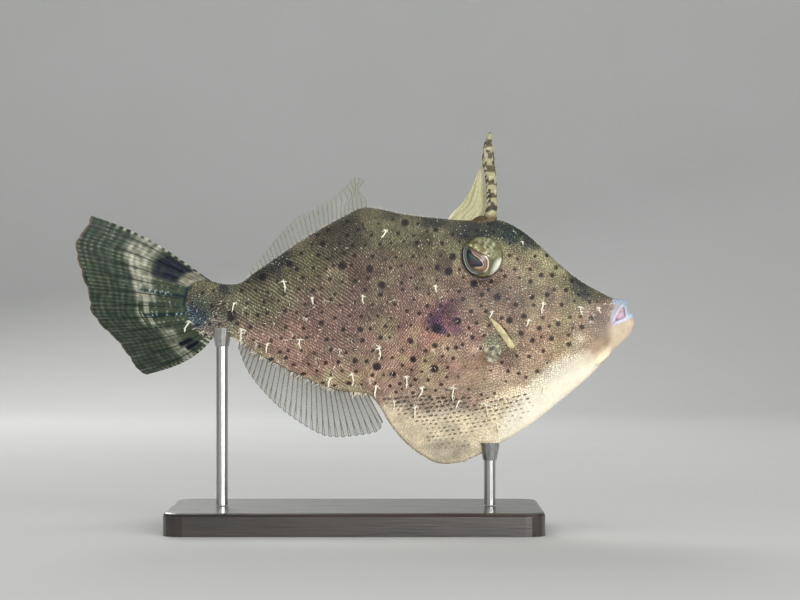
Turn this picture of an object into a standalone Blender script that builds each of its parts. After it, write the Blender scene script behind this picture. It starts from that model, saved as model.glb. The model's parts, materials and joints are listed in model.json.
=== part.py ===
"""Strapweed filefish, a life-size still model on a small display stand.

The fish swims along +X with its right side towards -Y. Everything is drawn in
millimetres with the body's axis at z = 0, and is set down in metres at the end,
with the underside of the stand's base at z = 0.
"""
import math
import random

import bmesh
import bpy
from mathutils import Matrix, Vector

# Driving sizes in millimetres
AXIS_HEIGHT = 80.0
GAP = 0.3
MM = 0.001

# Outline from the side, as (along, up): the back from the tail's root to the
# lower lip, and the underside from the tail's root to the chin
BACK_LINE = [
    (-59.9, -0.6), (-59.3, 2.8), (-57.0, 5.6), (-52.0, 7.2), (-46.7, 5.7), (-41.1, 5.9),
    (-36.9, 8.7), (-26.4, 16.1), (-15.9, 22.9), (-5.4, 28.7), (3.7, 32.7), (7.9, 32.1),
    (15.6, 30.4), (29.6, 28.7), (40.1, 28.0), (49.5, 28.3), (55.8, 25.9), (61.1, 22.2),
    (71.6, 12.5), (78.6, 6.9), (85.6, 3.0), (89.8, 0.9), (92.6, 0.1), (94.4, -1.3),
    (94.9, -2.6), (95.1, -4.3), (96.3, -4.6), (97.1, -5.8), (97.5, -7.0),
]
KEEL_LINE = [
    (-59.9, -2.8), (-59.1, -5.8), (-57.2, -9.4), (-52.0, -13.8), (-46.7, -12.6),
    (-41.1, -13.8), (-35.2, -18.4), (-26.4, -23.3), (-15.9, -28.3), (-5.4, -32.0),
    (4.7, -33.1), (7.9, -36.6), (12.1, -43.8), (17.3, -49.9), (22.6, -54.1),
    (30.6, -57.7), (35.9, -57.2), (43.6, -54.2), (52.3, -49.5), (62.8, -42.8),
    (71.6, -35.6), (78.6, -29.9), (85.6, -23.2), (90.1, -18.1), (94.3, -14.1),
    (96.4, -11.8), (97.5, -9.0),
]
# Where the thick body ends and the thin keel under it begins, behind and ahead of
# which the keel line itself is the body's edge
BELLY_LINE = [
    (4.7, -33.1), (15.6, -34.6), (30.6, -36.4), (43.6, -36.7), (52.3, -35.7),
    (62.8, -32.9), (71.6, -29.4), (78.6, -25.6), (85.6, -20.6), (90.1, -17.1),
]
# Half of the body's breadth along its length
BREADTH_LINE = [
    (-59.9, 0.8), (-56.0, 1.5), (-46.7, 3.0), (-36.0, 4.9), (-20.0, 8.0), (0.0, 10.6),
    (20.0, 12.3), (38.0, 12.9), (52.0, 12.3), (64.0, 10.4), (74.0, 8.2), (82.0, 6.4),
    (88.0, 5.0), (92.0, 4.3), (95.0, 3.7), (97.5, 2.4),
]
# Half thickness of the keel
KEEL_HALF_LINE = [
    (-59.9, 0.6), (-46.7, 1.2), (4.7, 1.3), (30.0, 1.1), (55.0, 1.4), (75.0, 2.2), (97.5, 2.4),
]
WIDEST_AT = 0.46
EASE_REACH = 2.4
RING_STEPS = 14

# Eyes
EYE_ALONG, EYE_UP = 44.0, 14.8
EYE_RADII = (7.1, 5.6, 7.1)
EYE_OUT = 8.8

# Mouth, seen from the side
MOUTH_OPENING = [
    (93.5, -2.3), (94.0, -3.3), (94.1, -5.0), (94.4, -5.9), (92.6, -6.6), (90.4, -7.6),
    (90.5, -6.3), (91.5, -4.5), (92.7, -3.0),
]
JAW_CUT = [
    (96.3, -2.0), (95.2, -4.7), (94.6, -5.9), (92.6, -6.6), (90.2, -7.7), (88.2, -9.2),
    (88.4, -12.0), (90.0, -15.5), (93.0, -20.5),
]
UPPER_LIP = [
    (88.9, -7.2, 0.98), (90.2, -5.9, 1.0), (91.3, -4.0, 1.0), (92.9, -1.9, 0.95), (94.3, -2.7, 0.6),
]
LOWER_LIP = [
    (88.9, -9.3, 0.98), (91.4, -8.1, 1.0), (94.0, -7.2, 0.97), (95.9, -6.0, 0.8),
]
TEETH = [(93.3, -2.9), (93.6, -5.0), (92.4, -5.8), (91.0, -6.5), (91.0, -6.1), (91.9, -4.6)]
TEETH_HALF = 2.5

# Thin cuts that part the body
NECK_CUT = [
    (29.5, 34.0), (32.0, 20.0), (35.0, 8.0), (40.0, -2.0), (46.5, -11.5), (51.8, -18.0),
    (55.5, -25.0), (58.5, -33.6),
]
KEEL_CUT = [
    (74.0, -39.5), (70.2, -31.5), (58.5, -33.6), (43.6, -36.2), (30.6, -36.0), (15.6, -34.0),
    (5.8, -32.0), (2.0, -36.5),
]
TAIL_CUT = [(-39.6, 16.0), (-41.3, -20.0)]

# Fins, as margins seen from the side, front to rear or top to bottom
ANAL_MARGIN = [
    (9.6, -42.7), (8.4, -45.6), (4.6, -47.0), (-3.7, -48.1), (-8.9, -48.0), (-13.1, -46.7),
    (-20.1, -42.5), (-27.5, -36.8), (-34.8, -29.1), (-38.6, -23.4), (-41.0, -17.0),
]
ANAL_ROOT_FRONT, ANAL_ROOT_REAR = 4.1, -40.4
DORSAL_MARGIN = [
    (3.0, 42.0), (0.2, 43.1), (-2.6, 41.3), (-7.9, 35.6), (-15.6, 31.4), (-21.9, 27.7),
    (-28.2, 20.9), (-34.1, 13.7), (-36.9, 9.9),
]
DORSAL_ROOT_FRONT, DORSAL_ROOT_REAR = 3.9, -36.6
TAIL_ROOT = [
    (-52.2, 7.7), (-56.6, 6.5), (-59.5, 3.9), (-60.5, 0.4), (-60.5, -3.6), (-59.4, -7.0),
    (-57.2, -10.4), (-52.2, -14.4),
]
TAIL_MARGIN = [
    (-92.0, 29.4), (-94.2, 24.9), (-97.2, 20.8), (-97.3, 16.0), (-96.3, 11.6), (-95.2, 7.0),
    (-94.0, 3.6), (-93.6, 0.0), (-93.4, -3.7), (-91.5, -6.9), (-89.2, -10.0), (-86.1, -13.0),
    (-83.2, -16.8), (-80.0, -21.8), (-77.6, -25.4), (-75.0, -26.6),
]
TAIL_SWEEP_TOP, TAIL_SWEEP_BOTTOM = -4.0, 21.0
TAIL_BOW_TOP, TAIL_BOW_BOTTOM = 2.4, 2.7
SOFT_RAYS = 30
TAIL_RAYS = 12
PECTORAL_RAYS = 11
RAY_HALF = 0.5
WEB_HALF = 0.27

PECTORAL_ALONG, PECTORAL_UP = 47.2, -17.6
PECTORAL_LENGTH = 16.0
PECTORAL_FROM, PECTORAL_TO = math.radians(192.0), math.radians(262.0)

# First dorsal spine: along, up, half breadth along, half breadth across
SPINE_LINE = [
    (47.2, 24.5, 2.5, 1.9), (47.2, 29.0, 2.25, 1.7), (47.8, 33.2, 1.8, 1.45),
    (47.6, 38.5, 1.9, 1.4), (47.2, 43.7, 2.0, 1.35), (46.5, 49.0, 2.1, 1.25),
    (46.4, 52.5, 1.8, 1.05), (46.5, 55.3, 1.3, 0.8), (46.8, 57.4, 0.8, 0.55),
    (47.1, 58.8, 0.35, 0.3),
]
SPINE_SIDES = 8
WEB_TRAILING = [
    (32.0, 28.8), (34.9, 31.2), (36.8, 33.0), (38.8, 36.2), (40.2, 38.6), (41.9, 42.1),
    (43.5, 46.2),
]
WEB_LEADING = [
    (43.6, 28.5), (45.3, 31.5), (45.5, 35.0), (45.3, 38.5), (44.8, 42.0), (44.2, 46.6),
]

# Gill opening, upper end to lower end
GILL_LINE = [(45.7, -5.2), (48.3, -8.0), (50.8, -11.2), (53.0, -14.2), (54.8, -16.8)]

# Nostrils
NOSTRILS = [(52.9, 18.4), (54.5, 16.4)]

# Skin tassels, as (along, up, length, lean along)
TASSELS = [
    (-43.6, -10.6, 4.6, -0.5), (-19.0, 17.0, 3.0, -0.4), (-19.0, -14.6, 3.6, -0.2),
    (-1.0, -26.0, 4.2, 0.1), (8.8, -15.6, 4.4, 0.3), (24.2, -29.6, 4.2, 0.2),
    (34.0, -29.6, 4.4, -0.1), (21.4, -39.6, 4.0, 0.3), (45.0, -39.4, 4.4, 0.2),
    (64.8, -0.6, 3.2, -0.3), (77.8, -2.0, 3.2, 0.2),
]
# Tassels on the edge of the back and of the keel, as (along, length, lean along)
BACK_TASSELS = [(6.4, 3.0, 0.1), (9.6, 2.6, 0.5), (55.4, 3.4, 0.5)]
KEEL_TASSELS = [(28.4, 2.4, -0.3)]

# Barbs of the spine: heights of the lowest and highest pair, and of the soft points
BARB_PAIRS = 8
BARB_LOW, BARB_HIGH = 33.5, 56.0
FRONT_POINTS = [43.4, 45.8, 53.0, 55.6]
REAR_POINTS = [50.5, 53.0, 55.5]

# Stand
BASE_LENGTH, BASE_BREADTH, BASE_THICK = 130.0, 66.0, 8.0
ROD_RADIUS = 2.0
CUP_RADIUS = 3.6
ROD_FRONT = 47.0
ROD_REAR = -46.7

SKIN = (0.23, 0.17, 0.11)
PALE = (0.58, 0.50, 0.38)
FIN = (0.45, 0.42, 0.32)


def smooth_line(points):
    """A function through points sorted by their first number, without overshoot."""
    slopes = [(b[1] - a[1]) / (b[0] - a[0]) for a, b in zip(points, points[1:])]
    tangents = [slopes[0]]
    for before, after in zip(slopes, slopes[1:]):
        same = before * after > 0.0
        tangents.append(2.0 * before * after / (before + after) if same else 0.0)
    tangents.append(slopes[-1])

    def value(x):
        if x <= points[0][0]:
            return points[0][1]
        if x >= points[-1][0]:
            return points[-1][1]
        i = next(k for k in range(len(slopes)) if x <= points[k + 1][0])
        step = points[i + 1][0] - points[i][0]
        t = (x - points[i][0]) / step
        start = points[i][1] * (1.0 + 2.0 * t) + tangents[i] * step * t
        end = points[i + 1][1] * (3.0 - 2.0 * t) - tangents[i + 1] * step * (1.0 - t)
        return start * (1.0 - t) ** 2 + end * t ** 2

    return value


def outline(points):
    """A smooth line with its bends eased, but true at the tail's root and the mouth."""
    line = smooth_line(points)

    def value(x):
        reach = EASE_REACH * min(max((92.0 - x) / 6.0, 0.0), 1.0) * min(max((x + 57.0) / 6.0, 0.0), 1.0)
        shares = ((-1.0, 1.0), (-0.5, 2.0), (0.0, 3.0), (0.5, 2.0), (1.0, 1.0))
        return sum(weight * line(x + reach * shift) for shift, weight in shares) / 9.0

    return value


back_line = outline(BACK_LINE)
keel_line = outline(KEEL_LINE)
breadth_line = smooth_line(BREADTH_LINE)
keel_half_line = smooth_line(KEEL_HALF_LINE)
belly_inner = smooth_line(BELLY_LINE)


def belly_line(x):
    """Lower edge of the thick body."""
    if BELLY_LINE[0][0] < x < BELLY_LINE[-1][0]:
        return max(belly_inner(x), keel_line(x))
    return keel_line(x)


def ease(t):
    t = min(max(t, 0.0), 1.0)
    return t * t * (3.0 - 2.0 * t)


def half_width(x, z):
    """Half of the fish's breadth at a place seen from the side."""
    top, keel, belly = back_line(x), keel_line(x), belly_line(x)
    z = min(max(z, keel), top)
    u = (top - z) / (top - belly)
    trunk = 0.0
    if u < WIDEST_AT:
        trunk = (1.0 - (1.0 - u / WIDEST_AT) ** 2.4) ** 0.62
    elif u < 1.0:
        fall = 0.6 + 0.7 * ease((belly - keel) / 8.0)
        trunk = (1.0 - ((u - WIDEST_AT) / (1.0 - WIDEST_AT)) ** 2.3) ** fall
    trunk *= breadth_line(x)
    thick = keel_half_line(x)
    inset = min((z - keel) / (1.4 * thick), (top - z) / (1.4 * thick), 1.0)
    plate = thick * math.sqrt(max(1.0 - (1.0 - inset) ** 2, 0.0))
    return (trunk ** 3 + plate ** 3) ** (1.0 / 3.0)


def stations():
    """Places along the fish where its section is drawn, closer at both ends."""
    tail = [-59.9, -59.3, -58.2, -56.5, -54.5]
    trunk = [-52.0 + 3.5 * i for i in range(40)]
    snout = [86.8, 89.0, 91.0, 92.6, 93.8, 94.5, 94.9, 95.1, 95.8, 96.5, 97.1, 97.5]
    return tail + trunk + snout


def mesh_object(name, points, faces):
    """An object in millimetres with its faces turned outwards."""
    mesh = bpy.data.meshes.new(name)
    mesh.from_pydata([tuple(p) for p in points], [], faces)
    obj = bpy.data.objects.new(name, mesh)
    bpy.context.scene.collection.objects.link(obj)
    tidy_mesh(obj)
    return obj


def tidy_mesh(obj):
    """Merge coincident corners, split all faces into triangles and turn them outwards."""
    form = bmesh.new()
    form.from_mesh(obj.data)
    bmesh.ops.remove_doubles(form, verts=form.verts, dist=1e-4)
    bmesh.ops.dissolve_degenerate(form, edges=form.edges, dist=1e-4)
    bmesh.ops.triangulate(form, faces=form.faces)
    bmesh.ops.recalc_face_normals(form, faces=form.faces)
    form.to_mesh(obj.data)
    form.free()


def tube_faces(rings, count):
    """Sides and ends of a run of rings with the same number of points."""
    faces = []
    for r in range(rings - 1):
        for i in range(count):
            j = (i + 1) % count
            a, b = r * count + i, r * count + j
            faces.append((a, b, b + count))
            faces.append((a, b + count, a + count))
    faces.append(tuple(range(count)))
    faces.append(tuple((rings - 1) * count + i for i in reversed(range(count))))
    return faces


def body_form(name, grow=0.0):
    """The whole body as one loft, thicker all round by the given amount."""
    points = []
    rows = stations()
    for x in rows:
        top, keel = back_line(x), keel_line(x)
        lean = min(max((x - 19.0) / 78.0, -1.0), 1.0)
        section = []
        for i in range(RING_STEPS + 1):
            t = (1.0 - math.cos(math.pi * i / RING_STEPS)) / 2.0
            z = top + (keel - top) * t
            reach = half_width(x, z) + grow if 0 < i < RING_STEPS else 0.0
            section.append((x + grow * lean, reach, z + grow * (1.0 - 2.0 * t)))
        points += [(px, -py, pz) for px, py, pz in section]
        points += [section[i] for i in range(RING_STEPS - 1, 0, -1)]
    return mesh_object(name, points, tube_faces(len(rows), 2 * RING_STEPS))


def sheet(name, grid, halves):
    """A closed thin solid round a grid of middle points, split alike on both faces."""
    rows, cols = len(grid), len(grid[0])
    front, rear = [], []
    for i in range(rows):
        for j in range(cols):
            across = grid[i][min(j + 1, cols - 1)] - grid[i][max(j - 1, 0)]
            along = grid[min(i + 1, rows - 1)][j] - grid[max(i - 1, 0)][j]
            normal = across.cross(along).normalized()
            front.append(grid[i][j] + normal * halves[i][j])
            rear.append(grid[i][j] - normal * halves[i][j])
    size = rows * cols
    faces = []
    for i in range(rows - 1):
        for j in range(cols - 1):
            a, b = i * cols + j, i * cols + j + 1
            c, d = b + cols, a + cols
            faces += [(a, b, c), (a, c, d), (size + a, size + c, size + b),
                      (size + a, size + d, size + c)]
    rim = [j for j in range(cols)]
    rim += [i * cols + cols - 1 for i in range(1, rows)]
    rim += [(rows - 1) * cols + j for j in range(cols - 2, -1, -1)]
    rim += [i * cols for i in range(rows - 2, 0, -1)]
    for a, b in zip(rim, rim[1:] + rim[:1]):
        faces += [(a, b, size + b), (a, size + b, size + a)]
    return mesh_object(name, front + rear, faces)


def along_path(points, share):
    """The place at a share of a path's length."""
    steps = [(b - a).length for a, b in zip(points, points[1:])]
    left = min(max(share, 0.0), 1.0) * sum(steps)
    for a, b, step in zip(points, points[1:], steps):
        if left <= step:
            return a.lerp(b, left / step)
        left -= step
    return points[-1]


def curved_path(points, steps=6):
    """A path bent smoothly through its points."""
    ends = [points[0] * 2.0 - points[1]] + list(points) + [points[-1] * 2.0 - points[-2]]
    path = []
    for p, q, r, s in zip(ends, ends[1:], ends[2:], ends[3:]):
        for k in range(steps):
            t = k / steps
            bend = q * 2.0 + (r - p) * t + (p * 2.0 - q * 5.0 + r * 4.0 - s) * t * t
            path.append((bend + (q * 3.0 - p - r * 3.0 + s) * t ** 3) / 2.0)
    path.append(points[-1])
    return path


def flat(points):
    """Places seen from the side, on the fish's middle plane."""
    return [Vector((x, 0.0, z)) for x, z in points]


def fin_columns(rays, fork):
    """Shares across a fin with the role of each column: ray, shoulder or web."""
    columns = []
    for ray in range(rays):
        place = ray / (rays - 1)
        side = 0.27 / (rays - 1)
        if fork and ray > 0:
            columns.append((place - side, "shoulder"))
        columns.append((place, "ray"))
        if fork and ray < rays - 1:
            columns.append((place + side, "shoulder"))
        if ray < rays - 1:
            columns.append((place + 0.5 / (rays - 1), "web"))
    return columns


def ray_half(role, v):
    """Half thickness of a fin at a share of the way from root to margin."""
    if role == "ray":
        return RAY_HALF * (1.0 - 0.35 * v)
    if role == "shoulder":
        return WEB_HALF + 0.13 * ease((v - 0.3) / 0.3)
    return WEB_HALF


def ray_fin(name, root, margin, rays, rows, shift, fork=False):
    """A fin from its root path to its margin path, with rays raised in both faces."""
    grid, halves = [], []
    columns = fin_columns(rays, fork)
    for i in range(rows + 1):
        v = i / rows
        line, thick = [], []
        for u, role in columns:
            start, end = along_path(root, u), along_path(margin, u)
            notch = 0.985 if role == "web" and v == 1.0 else 1.0
            line.append(start.lerp(end, v * notch) + shift(u, v))
            thick.append(ray_half(role, v))
        grid.append(line)
        halves.append(thick)
    return sheet(name, grid, halves)


def root_on(line, outward, start, end, count=24):
    """A fin's root path just clear of the back or the underside."""
    path = []
    for i in range(count + 1):
        x = start + (end - start) * i / count
        slope = line(x + 0.5) - line(x - 0.5)
        normal = Vector((-slope, 0.0, 1.0)).normalized() * outward
        path.append(Vector((x, 0.0, line(x))) + normal * (GAP + 0.15))
    return path


def swept(name, path, radii, sides):
    """A tube along a path, with its own radius at each point."""
    points = []
    for i, place in enumerate(path):
        heading = path[min(i + 1, len(path) - 1)] - path[max(i - 1, 0)]
        heading.normalize()
        spare = Vector((0.0, 0.0, 1.0)) if abs(heading.z) < 0.9 else Vector((1.0, 0.0, 0.0))
        across = heading.cross(spare).normalized()
        up = across.cross(heading)
        for k in range(sides):
            turn = 2.0 * math.pi * k / sides
            points.append(place + (across * math.cos(turn) + up * math.sin(turn)) * radii[i])
    return mesh_object(name, points, tube_faces(len(path), sides))


def prism(name, corners, low, high):
    """A side view carried across the fish from y = low to y = high."""
    points = [(x, low, z) for x, z in corners] + [(x, high, z) for x, z in corners]
    count = len(corners)
    faces = [tuple(range(count)), tuple(range(2 * count - 1, count - 1, -1))]
    for i in range(count):
        j = (i + 1) % count
        faces.append((i, j, count + j, count + i))
    return mesh_object(name, points, faces)


def slab(name, line):
    """A thin cutter as thick as the gap between touching pieces."""
    places = [Vector(p) for p in line]
    near, far = [], []
    for i, place in enumerate(places):
        before = (place - places[i - 1]).normalized() if i > 0 else None
        after = (places[i + 1] - place).normalized() if i < len(places) - 1 else None
        before, after = before or after, after or before
        heading = (before + after).normalized()
        spread = GAP / 2.0 / max(heading.dot(after), 0.5)
        normal = Vector((-heading.y, heading.x))
        near.append(tuple(place + normal * spread))
        far.append(tuple(place - normal * spread))
    return prism(name, near + far[::-1], -30.0, 30.0)


def ball(name, centre, radii, segments=18, rings=10):
    form = bmesh.new()
    bmesh.ops.create_uvsphere(form, u_segments=segments, v_segments=rings, radius=1.0)
    form.transform(Matrix.Translation(centre) @ Matrix.Diagonal((*radii, 1.0)))
    mesh = bpy.data.meshes.new(name)
    form.to_mesh(mesh)
    form.free()
    obj = bpy.data.objects.new(name, mesh)
    bpy.context.scene.collection.objects.link(obj)
    return obj


def cone(name, base, tip, radius_base, radius_tip, sides):
    axis = tip - base
    form = bmesh.new()
    bmesh.ops.create_cone(form, cap_ends=True, segments=sides, radius1=radius_base,
                          radius2=radius_tip, depth=axis.length)
    turn = Vector((0.0, 0.0, 1.0)).rotation_difference(axis).to_matrix().to_4x4()
    form.transform(Matrix.Translation((base + tip) / 2.0) @ turn)
    mesh = bpy.data.meshes.new(name)
    form.to_mesh(mesh)
    form.free()
    obj = bpy.data.objects.new(name, mesh)
    bpy.context.scene.collection.objects.link(obj)
    return obj


def islands(mesh):
    """The face sets of each separate closed surface."""
    form = bmesh.new()
    form.from_mesh(mesh)
    form.faces.ensure_lookup_table()
    seen, found = set(), []
    for face in form.faces:
        if face.index in seen:
            continue
        stack, group = [face], []
        seen.add(face.index)
        while stack:
            here = stack.pop()
            group.append(here.index)
            for edge in here.edges:
                for other in edge.link_faces:
                    if other.index not in seen:
                        seen.add(other.index)
                        stack.append(other)
        found.append(group)
    form.free()
    return found


def part_of(mesh, group, name):
    """A new mesh with only one group of another's faces."""
    kept = set(group)
    form = bmesh.new()
    form.from_mesh(mesh)
    form.faces.ensure_lookup_table()
    extra = [face for face in form.faces if face.index not in kept]
    bmesh.ops.delete(form, geom=extra, context="FACES")
    result = bpy.data.meshes.new(name)
    form.to_mesh(result)
    form.free()
    return result


def volume(mesh):
    form = bmesh.new()
    form.from_mesh(mesh)
    amount = form.calc_volume(signed=False)
    form.free()
    return amount


def keep_largest(obj):
    parts = [part_of(obj.data, group, obj.name) for group in islands(obj.data)]
    if len(parts) > 1:
        obj.data = max(parts, key=volume)


def combine(target, pieces, operation, solver="EXACT"):
    """One applied Boolean with all pieces, which are then removed."""
    holder = bpy.data.collections.new("pieces")
    bpy.context.scene.collection.children.link(holder)
    for piece in pieces:
        bpy.context.scene.collection.objects.unlink(piece)
        holder.objects.link(piece)
    step = target.modifiers.new("combine", "BOOLEAN")
    step.operation = operation
    step.operand_type = "COLLECTION"
    step.collection = holder
    step.solver = solver
    graph = bpy.context.evaluated_depsgraph_get()
    result = bpy.data.meshes.new_from_object(target.evaluated_get(graph))
    target.modifiers.clear()
    target.data = result
    for piece in pieces:
        bpy.data.objects.remove(piece)
    bpy.data.collections.remove(holder)
    tidy_mesh(target)


def finish(obj, colour, roughness=0.55, metallic=0.0):
    """Material, smooth shading, and the place on the stand in metres."""
    material = bpy.data.materials.new(obj.name)
    material.use_nodes = True
    shader = material.node_tree.nodes["Principled BSDF"]
    shader.inputs["Base Color"].default_value = (*colour, 1.0)
    shader.inputs["Roughness"].default_value = roughness
    shader.inputs["Metallic"].default_value = metallic
    obj.data.materials.clear()
    obj.data.materials.append(material)
    obj.data.transform(Matrix.Scale(MM, 4) @ Matrix.Translation((0.0, 0.0, AXIS_HEIGHT)))
    obj.data.shade_smooth()
    obj.data.set_sharp_from_angle(angle=math.radians(40.0))
    return obj


def skin_point(x, z, side, out=0.0):
    return Vector((x, side * (half_width(x, z) + out), z))


def lip(name, line, radius):
    """A roll along one lip, round the snout from corner to corner."""
    right = [Vector((x, -half_width(x, z) * share, z)) for x, z, share in line]
    front = Vector((line[-1][0] + 0.25, 0.0, line[-1][1]))
    left = [Vector((p.x, -p.y, p.z)) for p in reversed(right)]
    path = curved_path(right + [front] + left, 2)
    count = len(path)
    radii = [radius * (0.55 + 0.45 * math.sin(math.pi * i / (count - 1)) ** 0.5)
             for i in range(count)]
    return swept(name, path, radii, 6)


def lid_ring(name, side):
    """The fold of skin round one eye."""
    points = []
    steps, sides = 20, 5
    for i in range(steps):
        turn = 2.0 * math.pi * i / steps
        out = Vector((math.cos(turn), 0.0, math.sin(turn)))
        x, z = EYE_ALONG + 7.2 * out.x, EYE_UP + 7.2 * out.z
        centre = skin_point(x, z, side, 0.15)
        for k in range(sides):
            roll = 2.0 * math.pi * k / sides
            points.append(centre + out * 0.75 * math.cos(roll)
                          + Vector((0.0, side * 0.75 * math.sin(roll), 0.0)))
    faces = []
    for i in range(steps):
        for k in range(sides):
            j, m = (i + 1) % steps, (k + 1) % sides
            faces.append((i * sides + k, j * sides + k, j * sides + m, i * sides + m))
    return mesh_object(name, points, faces)


def tassel(name, root, out, hang, length):
    """A soft skin tassel, bent from the surface towards where it hangs."""
    path = [root - out * 0.7, root + out * (0.28 * length) + hang * (0.25 * length),
            root + out * (0.36 * length) + hang * length]
    return swept(name, path, [0.6, 0.48, 0.14], 4)


def tassels():
    """All of the tassels, on both sides and along the edges."""
    draw = random.Random(7)
    pieces = []
    for side in (-1, 1):
        for x, z, length, lean in TASSELS:
            x += 0.0 if side < 0 else draw.uniform(-1.2, 1.2)
            root = skin_point(x, z, side)
            across = skin_point(x, z + 0.5, side) - skin_point(x, z - 0.5, side)
            along = skin_point(x + 0.5, z, side) - skin_point(x - 0.5, z, side)
            out = across.cross(along).normalized()
            out = out if out.y * side > 0.0 else -out
            hang = Vector((lean, 0.0, -1.0)).normalized()
            pieces.append(tassel("tassel", root, out, hang, length))
    for line, outward, places in ((back_line, 1.0, BACK_TASSELS), (keel_line, -1.0, KEEL_TASSELS)):
        for x, length, lean in places:
            out = Vector((0.0, 0.0, outward))
            hang = Vector((lean, 0.3, 0.4 * outward)).normalized()
            pieces.append(tassel("tassel", Vector((x, 0.0, line(x))), out, hang, length))
    return pieces


def gill_groove(name, side):
    """Cutter for the slit in front of the gill flap."""
    ahead = Vector((0.78, 0.0, 0.62))
    line = []
    for x, z in GILL_LINE:
        line.append((x + 1.2 * ahead.x, z + 1.2 * ahead.z))
    grid, halves = [], []
    for out in (-1.4, 0.0, 1.4):
        grid.append([skin_point(x, z, side, out) for x, z in line])
        halves.append([0.3] * len(line))
    return sheet(name, grid, halves)


def build_body():
    """The body, its folds and openings, parted into five pieces."""
    body = body_form("body")
    folds = [lip("upper_lip", UPPER_LIP, 0.75), lip("lower_lip", LOWER_LIP, 0.7)]
    folds += [lid_ring("lid", side) for side in (-1, 1)]
    combine(body, folds + tassels(), "UNION", "MANIFOLD")
    keep_largest(body)
    cutters = [prism("mouth", MOUTH_OPENING, -12.0, 12.0)]
    for side in (-1, 1):
        socket = Vector((EYE_ALONG, side * EYE_OUT, EYE_UP))
        cutters.append(ball("socket", socket, [radius + GAP for radius in EYE_RADII]))
        cutters.append(gill_groove("groove", side))
        for x, z in NOSTRILS:
            outer, inner = skin_point(x, z, side, 1.0), skin_point(x, z, side, -1.1)
            cutters.append(cone("nostril", inner, outer, 0.35, 0.75, 8))
    combine(body, cutters, "DIFFERENCE", "MANIFOLD")
    keep_largest(body)
    cuts = [slab("neck", NECK_CUT), slab("keel", KEEL_CUT), slab("tail", TAIL_CUT),
            slab("jaw", JAW_CUT)]
    combine(body, cuts, "DIFFERENCE", "MANIFOLD")
    seeds = {
        "head": (Vector((65.0, 0.0, -5.0)), SKIN),
        "lower_jaw": (Vector((93.5, 0.0, -11.0)), PALE),
        "torso": (Vector((5.0, 0.0, 0.0)), SKIN),
        "pelvic_flap": (Vector((35.0, 0.0, -45.0)), PALE),
        "tail_stem": (Vector((-50.0, 0.0, -3.0)), SKIN),
    }
    pieces = [part_of(body.data, group, "piece") for group in islands(body.data)]
    for name, (seed, colour) in seeds.items():
        def distance(mesh):
            total = Vector()
            for vertex in mesh.vertices:
                total += vertex.co
            return (total / len(mesh.vertices) - seed).length
        mesh = min(pieces, key=distance)
        pieces.remove(mesh)
        mesh.name = name
        piece = bpy.data.objects.new(name, mesh)
        bpy.context.scene.collection.objects.link(piece)
        finish(piece, colour)
    bpy.data.objects.remove(body)


def build_teeth():
    """The beak of fused front teeth seen through the parted lips."""
    finish(prism("upper_teeth", TEETH, -TEETH_HALF, TEETH_HALF), (0.72, 0.55, 0.52), 0.3)


def build_eyes():
    for side, name in ((-1, "eye_right"), (1, "eye_left")):
        centre = Vector((EYE_ALONG, side * EYE_OUT, EYE_UP))
        finish(ball(name, centre, EYE_RADII), (0.35, 0.33, 0.22), 0.15)


def sideways(distance):
    return Vector((0.0, distance, 0.0))


def build_soft_fins():
    """Second dorsal fin and anal fin, each a low waving fan of fine rays."""
    root = root_on(back_line, 1.0, DORSAL_ROOT_FRONT, DORSAL_ROOT_REAR)
    margin = curved_path(flat(DORSAL_MARGIN))
    fin = ray_fin("second_dorsal_fin", root, margin, SOFT_RAYS, 4,
                  lambda u, v: sideways(3.2 * v ** 1.3 * math.sin(1.1 + 9.0 * u) * (1.0 - 0.6 * u)))
    finish(fin, FIN)
    root = root_on(keel_line, -1.0, ANAL_ROOT_FRONT, ANAL_ROOT_REAR)
    margin = curved_path(flat(ANAL_MARGIN))
    fin = ray_fin("anal_fin", root, margin, SOFT_RAYS, 4,
                  lambda u, v: sideways(1.6 * v ** 1.3 * math.sin(0.4 + 7.0 * u)))
    finish(fin, FIN)


def build_tail_fin():
    """Rounded tail fin, its edges bowed, its lower lobe sweeping to the fish's left."""
    def shift(u, v):
        far = TAIL_SWEEP_TOP + (TAIL_SWEEP_BOTTOM - TAIL_SWEEP_TOP) * ease((u - 0.1) / 1.0)
        top = TAIL_BOW_TOP * (1.0 - u) ** 3 * math.sin(math.pi * v ** 1.2)
        bottom = TAIL_BOW_BOTTOM * u ** 3 * math.sin(math.pi * v ** 0.8)
        return Vector((0.47 * (top + bottom), far * v ** 1.6, 0.88 * (top - bottom)))

    root = curved_path(flat(TAIL_ROOT))
    margin = curved_path(flat(TAIL_MARGIN))
    fin = ray_fin("caudal_fin", root, margin, TAIL_RAYS, 7, shift, fork=True)
    finish(fin, (0.16, 0.15, 0.10))


def build_pectoral(side, name, hull):
    """A small fan behind the gill opening, on its fleshy root."""
    grid, halves = [], []
    columns = fin_columns(PECTORAL_RAYS, False)
    rows = 5
    for i in range(rows + 1):
        v = i / rows
        line, thick = [], []
        for u, role in columns:
            angle = PECTORAL_FROM + (PECTORAL_TO - PECTORAL_FROM) * u
            reach = 2.2 + (PECTORAL_LENGTH * (0.82 + 0.18 * math.sin(math.pi * u)) - 2.2) * v
            x = PECTORAL_ALONG + reach * math.cos(angle)
            z = PECTORAL_UP + reach * math.sin(angle)
            line.append(skin_point(x, z, side, 0.75 + 4.5 * v ** 1.2))
            thick.append(ray_half(role, v))
        grid.append(line)
        halves.append(thick)
    fin = sheet(name, grid, halves)
    centre = skin_point(PECTORAL_ALONG, PECTORAL_UP, side, 0.6)
    combine(fin, [ball("root", centre, (3.1, 1.5, 3.6), 12, 8)], "UNION")
    combine(fin, [hull], "DIFFERENCE")
    keep_largest(fin)
    finish(fin, FIN)


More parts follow.
